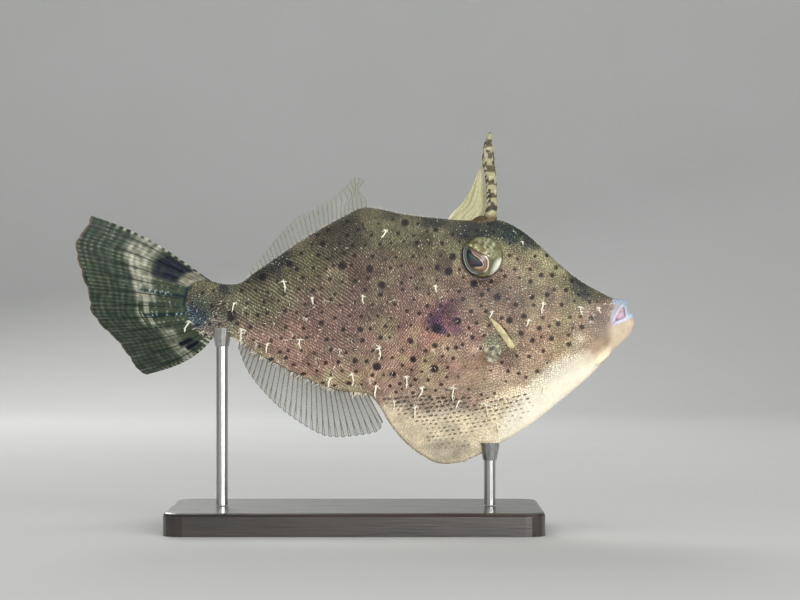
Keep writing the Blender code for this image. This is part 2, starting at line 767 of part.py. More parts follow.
def spine_point(z, turn):
    """A place on the spine's surface at a height, turned from straight ahead."""
    x, long_half, cross_half = (smooth_line([(row[1], row[k]) for row in SPINE_LINE])(z)
                                for k in (0, 2, 3))
    return Vector((x + long_half * math.cos(turn), cross_half * math.sin(turn), z))


def barbs():
    """Downward barbs in two rows behind, and a few soft points in front."""
    turn = math.radians(128.0)
    points = []
    for pair in range(BARB_PAIRS):
        share = pair / (BARB_PAIRS - 1)
        z = BARB_LOW + (BARB_HIGH - BARB_LOW) * share
        for side in (-1, 1):
            away = Vector((math.cos(turn), side * 1.1, -0.75))
            points.append((spine_point(z, side * turn), away, 1.5 - 0.6 * share))
    points += [(spine_point(z, 0.0), Vector((0.8, 0.15, 0.45)), 1.4) for z in FRONT_POINTS]
    points += [(spine_point(z, math.pi), Vector((-0.8, 0.1, 0.35)), 1.3) for z in REAR_POINTS]
    pieces = []
    for root, away, length in points:
        away.normalize()
        pieces.append(cone("barb", root - away * 0.5, root + away * length, 0.45, 0.11, 4))
    return pieces


def build_spine(hull):
    """First dorsal spine with its rows of barbs."""
    points = []
    for x, z, long_half, cross_half in SPINE_LINE:
        for k in range(SPINE_SIDES):
            turn = 2.0 * math.pi * (k + 0.5) / SPINE_SIDES
            points.append((x + long_half * math.cos(turn), cross_half * math.sin(turn), z))
    spine = mesh_object("first_dorsal_spine", points, tube_faces(len(SPINE_LINE), SPINE_SIDES))
    combine(spine, barbs(), "UNION", "MANIFOLD")
    combine(spine, [hull], "DIFFERENCE")
    keep_largest(spine)
    finish(spine, (0.25, 0.21, 0.12))


def build_web():
    """The folded membrane behind the first dorsal spine."""
    leading, trailing = curved_path(flat(WEB_LEADING)), curved_path(flat(WEB_TRAILING))
    rows, cols = 8, 8
    grid, halves = [], []
    for i in range(rows + 1):
        v = i / rows
        line = []
        for j in range(cols + 1):
            u = j / cols
            place = along_path(leading, v).lerp(along_path(trailing, v), u)
            if i == 0:
                place.z = back_line(place.x) + GAP + 0.1
            place.y = 0.55 * math.sin(7.0 * u) * math.sin(math.pi * min(v + 0.1, 1.0))
            line.append(place)
        grid.append(line)
        halves.append([0.3] * len(line))
    finish(sheet("spine_membrane", grid, halves), (0.60, 0.58, 0.40))


def build_gill_flap(side, name):
    """The pale fleshy rim along the gill opening."""
    grid, halves = [], []
    back = Vector((-0.78, 0.0, -0.62))
    for k in range(3):
        shift = (k - 1) * 0.55
        grid.append([skin_point(x + back.x * shift, z + back.z * shift, side, GAP + 0.55)
                     for x, z in GILL_LINE])
        halves.append([0.28 if k != 1 else 0.42] * len(GILL_LINE))
    finish(sheet(name, grid, halves), (0.68, 0.60, 0.35))


def build_stand():
    """A flat base, and two rods whose cups hold the keel and the tail stem."""
    form = bmesh.new()
    bmesh.ops.create_cube(form, size=1.0)
    form.transform(Matrix.Diagonal((BASE_LENGTH, BASE_BREADTH, BASE_THICK, 1.0)))
    upright = [e for e in form.edges if abs(e.verts[0].co.z - e.verts[1].co.z) > 1.0]
    bmesh.ops.bevel(form, geom=upright, offset=7.0, segments=5, profile=0.5, affect="EDGES")
    rim = [e for e in form.edges if min(v.co.z for v in e.verts) > BASE_THICK / 2.0 - 0.01]
    bmesh.ops.bevel(form, geom=rim, offset=1.2, segments=2, profile=0.5, affect="EDGES")
    base_top = BASE_THICK - AXIS_HEIGHT
    form.transform(Matrix.Translation((0.0, 0.0, base_top - BASE_THICK / 2.0)))
    mesh = bpy.data.meshes.new("stand_base")
    form.to_mesh(mesh)
    form.free()
    base = bpy.data.objects.new("stand_base", mesh)
    bpy.context.scene.collection.objects.link(base)
    finish(base, (0.05, 0.05, 0.05), 0.35)
    for name, x, grip in (("stand_rod_front", ROD_FRONT, 2.6), ("stand_rod_rear", ROD_REAR, 3.0)):
        low, seat = base_top + GAP, keel_line(x)
        rod = cone(name, Vector((x, 0.0, low)), Vector((x, 0.0, seat - 1.5)),
                   ROD_RADIUS, ROD_RADIUS, 12)
        cup = cone("cup", Vector((x, 0.0, seat - 3.5)), Vector((x, 0.0, seat + grip)),
                   ROD_RADIUS + 0.4, CUP_RADIUS, 12)
        combine(rod, [cup], "UNION")
        combine(rod, [body_form("hull", GAP)], "DIFFERENCE")
        keep_largest(rod)
        finish(rod, (0.55, 0.55, 0.55), 0.3, 1.0)


def main():
    for obj in list(bpy.data.objects):
        bpy.data.objects.remove(obj)
    build_body()
    build_teeth()
    build_eyes()
    build_soft_fins()
    build_tail_fin()
    for side, word in ((-1, "right"), (1, "left")):
        build_pectoral(side, "pectoral_fin_" + word, body_form("hull", GAP))
        build_gill_flap(side, "gill_flap_" + word)
    build_spine(body_form("hull", GAP))
    build_web()
    build_stand()


main()
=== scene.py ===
"""Looks of the strapweed filefish: skin, scales, tassels, fins, eyes and stand.

Shapes are worked out in millimetres with the body's axis at z = 0, the head
towards +X and the right side towards -Y, and are set down in metres in the
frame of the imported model.
"""
import json
import math

import bmesh
import bpy
import numpy as np
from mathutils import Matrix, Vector
from mathutils.bvhtree import BVHTree

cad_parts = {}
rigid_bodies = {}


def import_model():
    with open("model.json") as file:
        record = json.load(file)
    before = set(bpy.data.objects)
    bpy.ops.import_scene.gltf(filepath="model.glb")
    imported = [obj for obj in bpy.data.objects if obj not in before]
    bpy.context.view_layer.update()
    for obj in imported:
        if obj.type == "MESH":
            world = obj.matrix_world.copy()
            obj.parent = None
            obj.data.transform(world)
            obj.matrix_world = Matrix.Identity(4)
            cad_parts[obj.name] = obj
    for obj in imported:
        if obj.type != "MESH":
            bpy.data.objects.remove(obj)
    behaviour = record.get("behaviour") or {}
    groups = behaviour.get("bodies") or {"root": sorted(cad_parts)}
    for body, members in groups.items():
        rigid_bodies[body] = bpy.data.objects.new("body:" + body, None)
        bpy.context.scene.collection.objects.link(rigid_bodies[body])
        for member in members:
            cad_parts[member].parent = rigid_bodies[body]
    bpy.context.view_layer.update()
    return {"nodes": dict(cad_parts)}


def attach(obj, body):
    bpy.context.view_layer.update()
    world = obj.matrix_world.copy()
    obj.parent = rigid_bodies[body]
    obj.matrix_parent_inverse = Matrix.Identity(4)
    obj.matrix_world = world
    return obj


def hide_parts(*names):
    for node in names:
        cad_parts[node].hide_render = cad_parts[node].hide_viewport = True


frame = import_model()

# Driving sizes in millimetres
AXIS_HEIGHT = 80.0
MM = 0.001
SKIN_INSET = 0.12
VOXEL = 0.42

# The same outline that the solids are drawn from, as (along, up)
BACK_LINE = [
    (-59.9, -0.6), (-59.3, 2.8), (-57, 5.6), (-52, 7.2), (-46.7, 5.7), (-41.1, 5.9),
    (-36.9, 8.7), (-26.4, 16.1), (-15.9, 22.9), (-5.4, 28.7), (3.7, 32.7), (7.9, 32.1),
    (15.6, 30.4), (29.6, 28.7), (40.1, 28), (49.5, 28.3), (55.8, 25.9), (61.1, 22.2),
    (71.6, 12.5), (78.6, 6.9), (85.6, 3), (89.8, 0.9), (92.6, 0.1), (94.4, -1.3),
    (94.9, -2.6), (95.1, -4.3), (96.3, -4.6), (97.1, -5.8), (97.5, -7),
]
KEEL_LINE = [
    (-59.9, -2.8), (-59.1, -5.8), (-57.2, -9.4), (-52, -13.8), (-46.7, -12.6),
    (-41.1, -13.8), (-35.2, -18.4), (-26.4, -23.3), (-15.9, -28.3), (-5.4, -32),
    (4.7, -33.1), (7.9, -36.6), (12.1, -43.8), (17.3, -49.9), (22.6, -54.1),
    (30.6, -57.7), (35.9, -57.2), (43.6, -54.2), (52.3, -49.5), (62.8, -42.8),
    (71.6, -35.6), (78.6, -29.9), (85.6, -23.2), (90.1, -18.1), (94.3, -14.1),
    (96.4, -11.8), (97.5, -9),
]
BELLY_LINE = [
    (4.7, -33.1), (15.6, -34.6), (30.6, -36.4), (43.6, -36.7), (52.3, -35.7),
    (62.8, -32.9), (71.6, -29.4), (78.6, -25.6), (85.6, -20.6), (90.1, -17.1),
]
# Half breadths at the widest height and at the keel, as (along, half)
BREADTH_LINE = [
    (-59.9, 0.8), (-56, 1.5), (-46.7, 3), (-36, 4.9), (-20, 8), (0, 10.6),
    (20, 12.3), (38, 12.9), (52, 12.3), (64, 10.4), (74, 8.2), (82, 6.4),
    (88, 5), (92, 4.3), (95, 3.7), (97.5, 2.4),
]
KEEL_HALF_LINE = [
    (-59.9, 0.6), (-46.7, 1.2), (4.7, 1.3), (30, 1.1), (55, 1.4), (75, 2.2), (97.5, 2.4),
]
# Where the body is widest, as a share of the height from the back down to the belly
WIDEST_AT = 0.46
# Brightness of the skin between the scales
GROUND = 0.66
# How far to each side the outline is averaged
EASE_REACH = 2.4

EYE = Vector((44, 8.8, 14.8))
EYE_RADII = (7.1, 5.6, 7.1)
EYE_RIM = 10.7
LID_RADIUS = 7.2

MOUTH_OPENING = [
    (93.5, -2.3), (94, -3.3), (94.1, -5), (94.4, -5.9), (92.6, -6.6), (90.4, -7.6),
    (90.5, -6.3), (91.5, -4.5), (92.7, -3),
]
# Lips, as (along, up, share of the half breadth)
UPPER_LIP = [
    (90, -7.1, 0.98), (90.6, -5.7, 1), (91.6, -3.9, 1), (92.7, -2.3, 1), (93.7, -1.5, 0.9),
    (94.6, -2.2, 0.72), (94.6, -4.1, 0.55),
]
LOWER_LIP = [
    (90.2, -8.1, 0.98), (91.8, -7.6, 1), (94, -6.6, 0.97), (96.3, -5.2, 0.8),
]
MOUTH_WALL = 1.7
# Lumps of skin at the spine's foot and over the lip, as (centre, radii)
MOUNDS = [((44.6, 0, 26.6), (4.2, 2.5, 3)), ((92.2, 0, -1.05), (3.2, 2.3, 1.55))]

ANAL_MARGIN = [
    (9.6, -42.7), (8.4, -45.6), (4.6, -47), (-3.7, -48.1), (-8.9, -48), (-13.1, -46.7),
    (-20.1, -42.5), (-27.5, -36.8), (-34.8, -29.1), (-38.6, -23.4), (-41, -17),
]
ANAL_ROOT_FRONT, ANAL_ROOT_REAR = 4.1, -40.4
DORSAL_MARGIN = [
    (3, 42), (0.2, 43.1), (-2.6, 41.3), (-7.9, 35.6), (-15.6, 31.4), (-21.9, 27.7),
    (-28.2, 20.9), (-34.1, 13.7), (-36.9, 9.9),
]
DORSAL_ROOT_FRONT, DORSAL_ROOT_REAR = 3.9, -36.6
TAIL_ROOT = [
    (-52.2, 7.7), (-56.6, 6.5), (-59.5, 3.9), (-60.5, 0.4), (-60.5, -3.6), (-59.4, -7),
    (-57.2, -10.4), (-52.2, -14.4),
]
TAIL_MARGIN = [
    (-92, 29.4), (-94.2, 24.9), (-97.2, 20.8), (-97.3, 16), (-96.3, 11.6), (-95.2, 7),
    (-94, 3.6), (-93.6, 0), (-93.4, -3.7), (-91.5, -6.9), (-89.2, -10), (-86.1, -13),
    (-83.2, -16.8), (-80, -21.8), (-77.6, -25.4), (-75, -26.6),
]
TAIL_SWEEP_TOP, TAIL_SWEEP_BOTTOM = -4, 21
TAIL_BOW_TOP, TAIL_BOW_BOTTOM = 2.4, 2.7
SOFT_RAYS = 30
TAIL_RAYS = 12
TAIL_SUNK = 1.8
PECTORAL_RAYS = 11
PECTORAL_ALONG, PECTORAL_UP = 47.2, -17.6
PECTORAL_LENGTH = 16
PECTORAL_FROM, PECTORAL_TO = math.radians(192), math.radians(262)

# First dorsal spine, as (along, up, half length, half breadth)
SPINE_LINE = [
    (47.2, 24.5, 2.5, 1.9), (47.2, 29, 2.25, 1.7), (47.8, 33.2, 1.8, 1.45),
    (47.6, 38.5, 1.9, 1.4), (47.2, 43.7, 2, 1.35), (46.5, 49, 2.1, 1.25),
    (46.4, 52.5, 1.8, 1.05), (46.5, 55.3, 1.3, 0.8), (46.8, 57.4, 0.8, 0.55),
    (47.1, 58.8, 0.35, 0.3),
]
WEB_TRAILING = [
    (32, 28.8), (34.9, 31.2), (36.8, 33), (38.8, 36.2), (40.2, 38.6), (41.9, 42.1),
    (43.5, 46.2),
]
WEB_LEADING = [
    (43.6, 28.5), (45.3, 31.5), (45.5, 35), (45.3, 38.5), (44.8, 42), (44.2, 46.6),
]
GILL_LINE = [(45.7, -5.2), (48.3, -8), (50.8, -11.2), (53, -14.2), (54.8, -16.8)]
NOSTRILS = [(52.9, 18.4), (54.5, 16.4)]

SIDES = ((-1, "right"), (1, "left"))
THREAD_SIDES = 5
THREAD_POINTS = 7
FLECKS = 330
BAKE_PATCH = 0.0014

# Lights in metres, all aimed at one point: name, place, width, power
AIM = (0, 0, 0.08)
LIGHTS = [
    ("key", (0.35, -1.25, 0.16), 0.6, 12.5), ("fill", (-0.9, -1, 0.35), 0.9, 1.8),
    ("front", (0.95, -0.85, 0.45), 0.8, 4.6), ("top", (0, -0.1, 1.2), 0.8, 2.2),
    ("rear", (-0.3, 0.9, 0.6), 0.6, 4),
]
# Camera, level and in metres, with the width that it sees at the fish, and its sensor in millimetres
CAMERA_PLACE = (0.01558, -0.9, 0.08)
VIEW_WIDTH = 0.28
SENSOR = 36


def srgb(red, green, blue):
    """A screen colour from 0 to 255 as linear light."""
    value = np.array([red, green, blue]) / 255
    return np.where(value <= 0.04045, value / 12.92, ((value + 0.055) / 1.055) ** 2.4)


# Skin tones
OLIVE = srgb(112, 110, 80)
GREY = srgb(84, 82, 68)
YELLOW = srgb(146, 143, 102)
GOLD = srgb(168, 162, 124)
MAUVE = srgb(152, 114, 104)
BROWN = srgb(122, 97, 80)
PURPLE = srgb(94, 44, 82)
NAVY = srgb(46, 26, 76)
UMBER = srgb(92, 68, 62)
PINK = srgb(172, 138, 124)
SAND = srgb(160, 141, 122)
BEIGE = srgb(214, 198, 168)
CREAM = srgb(244, 234, 210)
FLAP = srgb(148, 142, 120)
SADDLE = srgb(34, 48, 54)
SNOUT = srgb(166, 147, 132)
CHEEK = srgb(154, 134, 110)
CHIN = srgb(217, 197, 171)
GREEN = srgb(110, 118, 94)
STONE = srgb(58, 76, 90)
TEAL = srgb(30, 58, 64)
LILAC_GREY = srgb(134, 118, 112)
LIP = srgb(214, 214, 230)
# Pale blue of the lips' edges; on the lower lip's tip it is a painted highlight.
LIP_BLUE_AND_HIGHLIGHT = srgb(182, 206, 226)
LIP_WHITE = srgb(254, 246, 252)
MOUTH = srgb(236, 208, 216)
MOUTH_DEEP_SHADE = srgb(212, 180, 212)
SNOUT_EDGE = srgb(206, 180, 152)

# Cream flecks on the snout: along, up, reach along, reach up, lean in degrees
SNOUT_FLECKS = [
    (89.3, -1.3, 0.75, 0.32, 18), (84.3, -2.8, 0.28, 0.85, 0), (89.6, -3.9, 0.55, 0.4, 0),
    (86.9, -1.5, 0.45, 0.25, 20), (85.3, -4.3, 0.25, 0.25, 0), (82, -7.6, 0.6, 0.35, 30),
]

# Cloudy patches: along, up, reach along, reach up, lean in degrees, tone, strength
PATCHES = [
    (-28.2, 12.2, 8.4, 4, 32, SADDLE, 0.75),
    (-18.4, 18, 5.4, 3.4, 32, YELLOW, 0.75),
    (-4.4, 21.7, 10.8, 7.2, 20, GREY, 0.75),
    (6.1, 29.4, 4.4, 3, 0, YELLOW, 0.8),
    (16.3, 24.5, 7, 4.8, 0, GOLD, 0.5),
    (26.1, 26.2, 5.4, 3, 0, SADDLE, 0.65),
    (3.3, 11.2, 7, 6.2, 0, BROWN, 0.65),
    (-6.5, 7, 4.6, 5.4, 0, GOLD, 0.55),
    (-23.6, 5.9, 4, 2.6, 0, YELLOW, 0.6),
    (-8.9, -6.3, 12.6, 5.8, 0, MAUVE, 0.6),
    (31, -5.2, 7, 5.6, -12, PURPLE, 0.85),
    (27, -6.6, 2.6, 5, -10, NAVY, 0.6),
    (28, -9.6, 2, 2.2, 0, NAVY, 0.9),
    (33, -3.6, 2.6, 1.8, 20, UMBER, 0.6),
    (31, 12.3, 4.2, 3.6, 0, UMBER, 0.62),
    (45.6, 3.6, 5.4, 3, -30, UMBER, 0.6),
    (54.4, -2.4, 3.4, 4.2, 10, UMBER, 0.45),
    (48.1, -16.6, 4.6, 5.6, -6, GREEN, 0.8),
    (48.4, 0.4, 7.4, 4.2, -40, BROWN, 0.75),
    (35.5, 4.6, 4, 3.4, 0, BROWN, 0.6),
    (43.5, 6.2, 4.2, 2.6, -30, UMBER, 0.6),
    (18.4, -1.8, 8.2, 5.4, 0, PINK, 0.45),
    (49, 24.6, 15.5, 4.2, 0, SADDLE, 0.85),
    (62, 19.4, 6.6, 3.2, -42, SADDLE, 0.8),
    (66.5, 12.6, 6.8, 3.6, -30, GOLD, 0.85),
    (79.6, 4.2, 6.2, 2.3, -38, SADDLE, 0.7),
    (76.1, -1.8, 6, 4.6, 0, OLIVE, 0.5),
    (53, 2.4, 9.6, 4.8, -10, BROWN, 0.65),
    (86.6, -5.9, 5.2, 6, 0, SNOUT, 0.75),
    (82.1, -19.9, 3.6, 2.4, 30, SNOUT, 0.5),
    (53.4, -20.3, 4, 3.6, 0, UMBER, 0.55),
    (37.3, -17.5, 7.6, 5.6, 0, SAND, 0.5),
    (-40.4, 0, 6.8, 4.6, 0, YELLOW, 0.6),
    (-53.6, 4.2, 5, 3, 0, YELLOW, 0.85),
    (-47.3, 4.2, 2.2, 2.4, 0, TEAL, 1),
    (-56.6, -5.8, 4, 4.4, 0, STONE, 0.95),
    (-50, -9.6, 5.4, 3, 0, LILAC_GREY, 0.8),
    (-48.6, -2.6, 3.4, 3.4, 0, BROWN, 0.5),
    (-32.7, -10.5, 9.2, 4.6, -20, PINK, 0.55),
    (41.8, -35, 21, 2.8, 4, BROWN, 0.35),
    (30, -53.5, 11, 4.6, 0, FLAP, 0.6),
]

# Lighter and darker places: along, up, reach along, reach up, factor of red, green and blue
SHADES = [
    (69.8, -8.8, 8, 7, (1.16, 1.08, 1)), (73.3, -20.1, 6, 4, (1.16, 1.12, 1.10)),
    (54.1, -30.6, 8, 4, (1.04, 1.08, 1.08)), (-1.9, -19.3, 8, 5, (0.64, 0.66, 0.66)),
    (85, -4.4, 4, 4, (0.74, 0.62, 0.66)), (78.6, -23.6, 7, 5, (0.97, 0.90, 0.84)),
    (54.4, 24.5, 7, 3.5, (0.46, 0.78, 0.56)), (-55.3, -4.7, 5, 4.5, (0.40, 0.75, 0.94)),
    (12.1, 24.9, 7, 4, (0.90, 0.95, 0.88)), (-14.2, 9.3, 8, 6, (0.93, 0.90, 0.82)),
    (28.5, -7, 4, 5, (1.48, 0.97, 1.10)), (18.2, 12.3, 10, 6, (0.93, 0.87, 0.84)),
    (15, -19, 10, 6, (1.20, 1.28, 1.18)),
    (18, -4, 16, 7, (1.12, 1.04, 1.02)),
    (29, -18, 13, 8, (1.42, 1.42, 1.40)), (-9, -26, 13, 4, (1.40, 1.40, 1.40)),
    (-24, -9.5, 6.5, 4.5, (1.40, 1.40, 1.36)), (39, 21.5, 9, 4, (0.72, 0.72, 0.72)),
    (55, 3.5, 8, 4.5, (0.76, 0.76, 0.76)),
]

# Spots that stand out: along, up, radius
SPOTS = [
    (-4.4, 11.9, 1.47), (5.1, 10.8, 1.26), (9.3, 5.2, 1.19), (7.5, -23.1, 1.40), (20.1, -20.6, 1.12),
    (13.1, -25.9, 1.12), (27.5, -23.8, 1.40), (28.2, -9.8, 1.50), (35.5, -7.3, 1.19), (41.1, 5.6, 1.26),
    (49.2, 1, 1.26), (-32.4, 8, 1.36), (-34.5, 10.1, 0.91), (-22.9, 12.6, 1.12), (32.4, 9.8, 1.33),
    (33.8, 15, 1.19), (28.5, 11.2, 1.05), (53.4, -7, 1.12), (37.2, 0.3, 0.91), (43.9, 1.9, 0.84),
    (47.1, 6.4, 0.84), (55.6, -1.6, 0.91), (58.4, -5.6, 0.98), (63.8, -9.8, 0.98), (57.5, -11.5, 0.91),
    (61.4, -14, 0.91), (68.1, -13.3, 0.91), (74.2, -15.3, 0.98), (65.3, -17.7, 0.84), (56.1, -19.4, 0.91),
    (60.4, -19.6, 0.98), (66.6, -21.7, 0.98), (63.4, -24.8, 1.05), (59.5, -26.9, 0.91), (78.8, -9.4, 0.91),
    (70.4, -8.3, 0.91), (71.6, -1.6, 0.84), (66.6, 1.8, 0.91), (61.2, 1, 0.98), (60.7, 6.4, 0.84),
    (64.5, 8.6, 0.84), (68.4, 8.6, 0.84), (19.1, -14, 0.98), (0, -21, 0.98), (4, -21.3, 0.91),
    (-11.4, 19.6, 0.98), (17.3, 26.9, 1.26), (-11.7, -8, 0.98), (1.9, -10.1, 1.05), (-43.2, -4.9, 1.5),
    (-43.3, -6.2, 1.3), (15.5, -29.2, 1.05), (19.3, -29.8, 0.9), (16.3, -31.1, 0.7), (14.2, -32.3, 0.9),
    (12.1, -30, 0.95), (20.9, -27.6, 1), (25.4, -27.9, 0.95), (24.3, -31.1, 0.9), (29.9, -29.4, 1),
    (28, -31.6, 0.85), (20.1, -32.5, 1), (17.9, -34, 0.8), (26, -33.9, 0.9), (30.5, -34.2, 0.95),
    (33.8, -34.2, 0.8), (31.8, -26.8, 0.9), (35.8, -26.8, 0.85), (31.9, -31.6, 0.7), (23.1, -24.9, 0.85),
    (19.6, -24.3, 0.7), (16.4, -22.7, 0.95), (24.3, -21.1, 0.9), (30.3, -19.5, 0.9), (34, -20.2, 1),
    (12.9, -20, 0.95), (9.2, -20.1, 0.9), (32.1, -23.4, 0.8), (38.2, -23.3, 0.75), (42.2, -23.7, 0.65),
    (41.1, -19.2, 0.75), (39.6, -31.1, 0.8), (48.6, -32.6, 0.85), (44, -33.1, 0.75), (32.1, -16.8, 0.8),
    (35, -16.5, 0.85), (37.2, -15.4, 0.7), (27.6, -15.8, 1), (24.5, -17.6, 0.9), (16.3, -17.6, 0.85),
    (19.3, -14.3, 1), (38, -34, 0.7), (52.4, -28.4, 0.7), (44.9, -27.6, 0.6),
]
SPOT_PITCH = 4.7
ROW_PITCH = SPOT_PITCH * 0.866

# Skin tassels: along, up, length
TASSELS = [
    (-39.4, -9.8, 5), (-19.4, -13.3, 3.6), (-0.9, -25.2, 4.4), (8.6, -15.7, 5), (7.2, -29.7, 4),
    (13.8, -35, 3.6), (18, -26.2, 4.2), (21.2, -36.8, 4.6), (24, -30.1, 3.8), (33.8, -29.7, 5.2),
    (36.6, -35, 3.4), (45, -35.6, 5.4), (49.5, -42.6, 3.6), (-24.7, 7, 4.6), (11.4, 24.5, 5),
    (55.5, 24.1, 2.8), (64.9, -0.7, 4.2), (77.9, -2.1, 3.6), (84.5, -2.4, 2.6), (-41.8, -0.7, 3.8),
    (60.4, -6.6, 3), (47.6, -3.6, 2.8), (58, 20.6, 2.6), (-58.2, -7, 4.2), (2.6, 1.8, 3.2),
    (-14.8, 1, 2.6), (27.6, 5.2, 2.8), (-30.4, -15, 3.2), (-8.6, -27, 3.4), (66, -30, 2.8),
]


def smooth_line(points):
    """A vectorised function through points sorted by their first number, without overshoot."""
    xs, ys = np.array(points, float).T
    slopes = np.diff(ys) / np.diff(xs)
    before, after = slopes[:-1], slopes[1:]
    same = before * after > 0
    middle = np.where(same, 2 * before * after / np.where(same, before + after, 1), 0)
    tangents = np.concatenate([slopes[:1], middle, slopes[-1:]])

    def value(x):
        x = np.clip(x, xs[0], xs[-1])
        i = np.clip(np.searchsorted(xs, x) - 1, 0, len(slopes) - 1)
        step = xs[i + 1] - xs[i]
        t = (x - xs[i]) / step
        start = ys[i] * (1 + 2 * t) + tangents[i] * step * t
        end = ys[i + 1] * (3 - 2 * t) - tangents[i + 1] * step * (1 - t)
        return start * (1 - t) ** 2 + end * t ** 2

    return value


def outline(points):
    """A smooth line with its bends eased, but true at the tail's root and the mouth."""
    line = smooth_line(points)

    def value(x):
        x = np.asarray(x, float)
        reach = EASE_REACH * np.clip((92 - x) / 6, 0, 1) * np.clip((x + 57) / 6, 0, 1)
        shares = ((-1, 1), (-0.5, 2), (0, 3), (0.5, 2), (1, 1))
        return sum(weight * line(x + reach * shift) for shift, weight in shares) / 9

    return value


back_line = outline(BACK_LINE)
keel_line = outline(KEEL_LINE)
breadth_line = smooth_line(BREADTH_LINE)
keel_half_line = smooth_line(KEEL_HALF_LINE)
belly_inner = smooth_line(BELLY_LINE)


def ease(t):
    t = np.clip(t, 0, 1)
    return t * t * (3 - 2 * t)


def rise(value, start, reach):
    """From 0 to 1 as a value goes from start over a reach."""
    return ease((value - start) / reach)


def fall(value, end, reach):
    """From 1 to 0 as a value goes over a reach to its end."""
    return ease((end - value) / reach)


def spread(count):
    """Shares from 0 to 1."""
    return np.linspace(0, 1, count)


def circle(count, start=0):
    """Angles that lie evenly round a circle."""
    return 2 * np.pi * (np.arange(count) + start) / count


def at(x, y, z):
    """Places from numbers or arrays along, across and up."""
    return np.stack(np.broadcast_arrays(x, y, z), -1)


def belly_line(x):
    """Lower edge of the thick body, above the thin keel."""
    keel = keel_line(x)
    inner = np.maximum(belly_inner(x), keel)
    return keel + (inner - keel) * (x > BELLY_LINE[0][0]) * ease((BELLY_LINE[-1][0] - x) / 11)


def half_width(x, z):
    """Half of the fish's breadth at places seen from the side."""
    x, z = np.asarray(x, float), np.asarray(z, float)
    top, keel, belly = back_line(x), keel_line(x), belly_line(x)
    z = np.clip(z, keel, top)
    u = (top - z) / (top - belly)
    upper = (1 - (1 - np.clip(u / WIDEST_AT, 0, 1)) ** 2.4) ** 0.62
    steepness = 0.6 + 0.7 * ease((belly - keel) / 8)
    below = np.clip((u - WIDEST_AT) / (1 - WIDEST_AT), 0, 1)
    trunk = np.where(u < WIDEST_AT, upper, (1 - below ** 2.3) ** steepness) * breadth_line(x)
    thick = keel_half_line(x)
    inset = np.minimum(np.minimum((z - keel) / (1.4 * thick), (top - z) / (1.4 * thick)), 1)
    plate = thick * np.sqrt(np.maximum(1 - (1 - inset) ** 2, 0))
    half = (trunk ** 3 + plate ** 3) ** (1 / 3)
    far = np.hypot(x - EYE.x, z - EYE.z)
    return half - np.maximum(half - EYE_RIM, 0) * fall(far, 10.8, 3.6)


def skin_point(x, z, side, out=0):
    """Places on the skin as an array, given along, up and side."""
    x, z = np.asarray(x, float), np.asarray(z, float)
    return np.stack([x, side * (half_width(x, z) + out), z], axis=-1)


def unit(vectors):
    length = np.linalg.norm(vectors, axis=-1, keepdims=True)
    return vectors / np.maximum(length, 1e-9)


def noise(places, size, seed=0):
    """Smooth noise between 0 and 1 at many places, with features of one size."""
    scaled = np.asarray(places, float) / size + 137
    cell = np.floor(scaled).astype(np.int64)
    share = scaled - cell
    share = share * share * (3 - 2 * share)
    total = np.zeros(scaled.shape[:-1])
    for corner in range(8):
        step = np.array([corner & 1, corner >> 1 & 1, corner >> 2 & 1])
        key = ((cell + step) * np.array([374761393, 668265263, 2147483647])).sum(axis=-1)
        key = key + seed * 1274126177
        key = (key ^ (key >> 13)) * 1274126177
        value = ((key ^ (key >> 16)) & 0xFFFF) / 65535
        total += value * np.prod(np.where(step == 1, share, 1 - share), axis=-1)
    return total


def catmull(points, steps=8):
    """A path bent smoothly through its points."""
    points = np.array(points, float)
    ends = np.vstack([2 * points[0] - points[1], points, 2 * points[-1] - points[-2]])
    t = (np.arange(steps) / steps)[:, None]
    path = []
    for p, q, r, s in zip(ends, ends[1:], ends[2:], ends[3:]):
        path.append((2 * q + (r - p) * t + (2 * p - 5 * q + 4 * r - s) * t ** 2
                     + (3 * q - p - 3 * r + s) * t ** 3) / 2)
    return np.vstack(path + [points[-1:]])


def along(path, shares):
    """Places at shares of a path's length."""
    steps = np.linalg.norm(np.diff(path, axis=0), axis=1)
    run = np.concatenate([[0], np.cumsum(steps)]) / steps.sum()
    return np.stack([np.interp(shares, run, path[:, k]) for k in range(path.shape[1])], axis=-1)


def flat(points):
    """Places seen from the side, on the fish's middle plane."""
    return np.array([(x, 0, z) for x, z in points])


def root_on(line, outward, start, end, count=60):
    """A fin's root path on the back or the underside."""
    x = np.linspace(start, end, count)
    normal = unit(at(line(x - 0.5) - line(x + 0.5), 0, 1)) * outward
    return at(x, 0, line(x)) - normal * 0.3


# Meshes

def to_metres(points):
    return (np.asarray(points, float) + np.array([0, 0, AXIS_HEIGHT])) * MM


def link_mesh(name, points, faces):
    """An object in the scene, with its points as they are."""
    mesh = bpy.data.meshes.new(name)
    mesh.from_pydata(np.asarray(points).tolist(), [], faces if isinstance(faces, list) else faces.tolist())
    obj = bpy.data.objects.new(name, mesh)
    bpy.context.scene.collection.objects.link(obj)
    return obj


def add_object(name, points, faces, material, slot, nodes=(), **painted):
    """A piece in millimetres, set down in metres, that rides on the model."""
    obj = link_mesh(name, to_metres(points), faces)
    obj.data.shade_smooth()
    obj.data.materials.append(material)
    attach(obj, "root")
    for node in nodes:
        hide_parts(node)
    for layer, values in painted.items():
        paint(obj, layer, np.asarray(values, np.float32))
    return obj


def paint(obj, name, values):
    """A tint, or a number, held at every vertex. One tint alone is held by all of them."""
    if name == "tint":
        rgba = np.ones((len(obj.data.vertices), 4), np.float32)
        rgba[:, :3] = values
        obj.data.color_attributes.new(name, "FLOAT_COLOR", "POINT").data.foreach_set("color", rgba.ravel())
    else:
        obj.data.attributes.new(name, "FLOAT", "POINT").data.foreach_set("value", values.ravel())


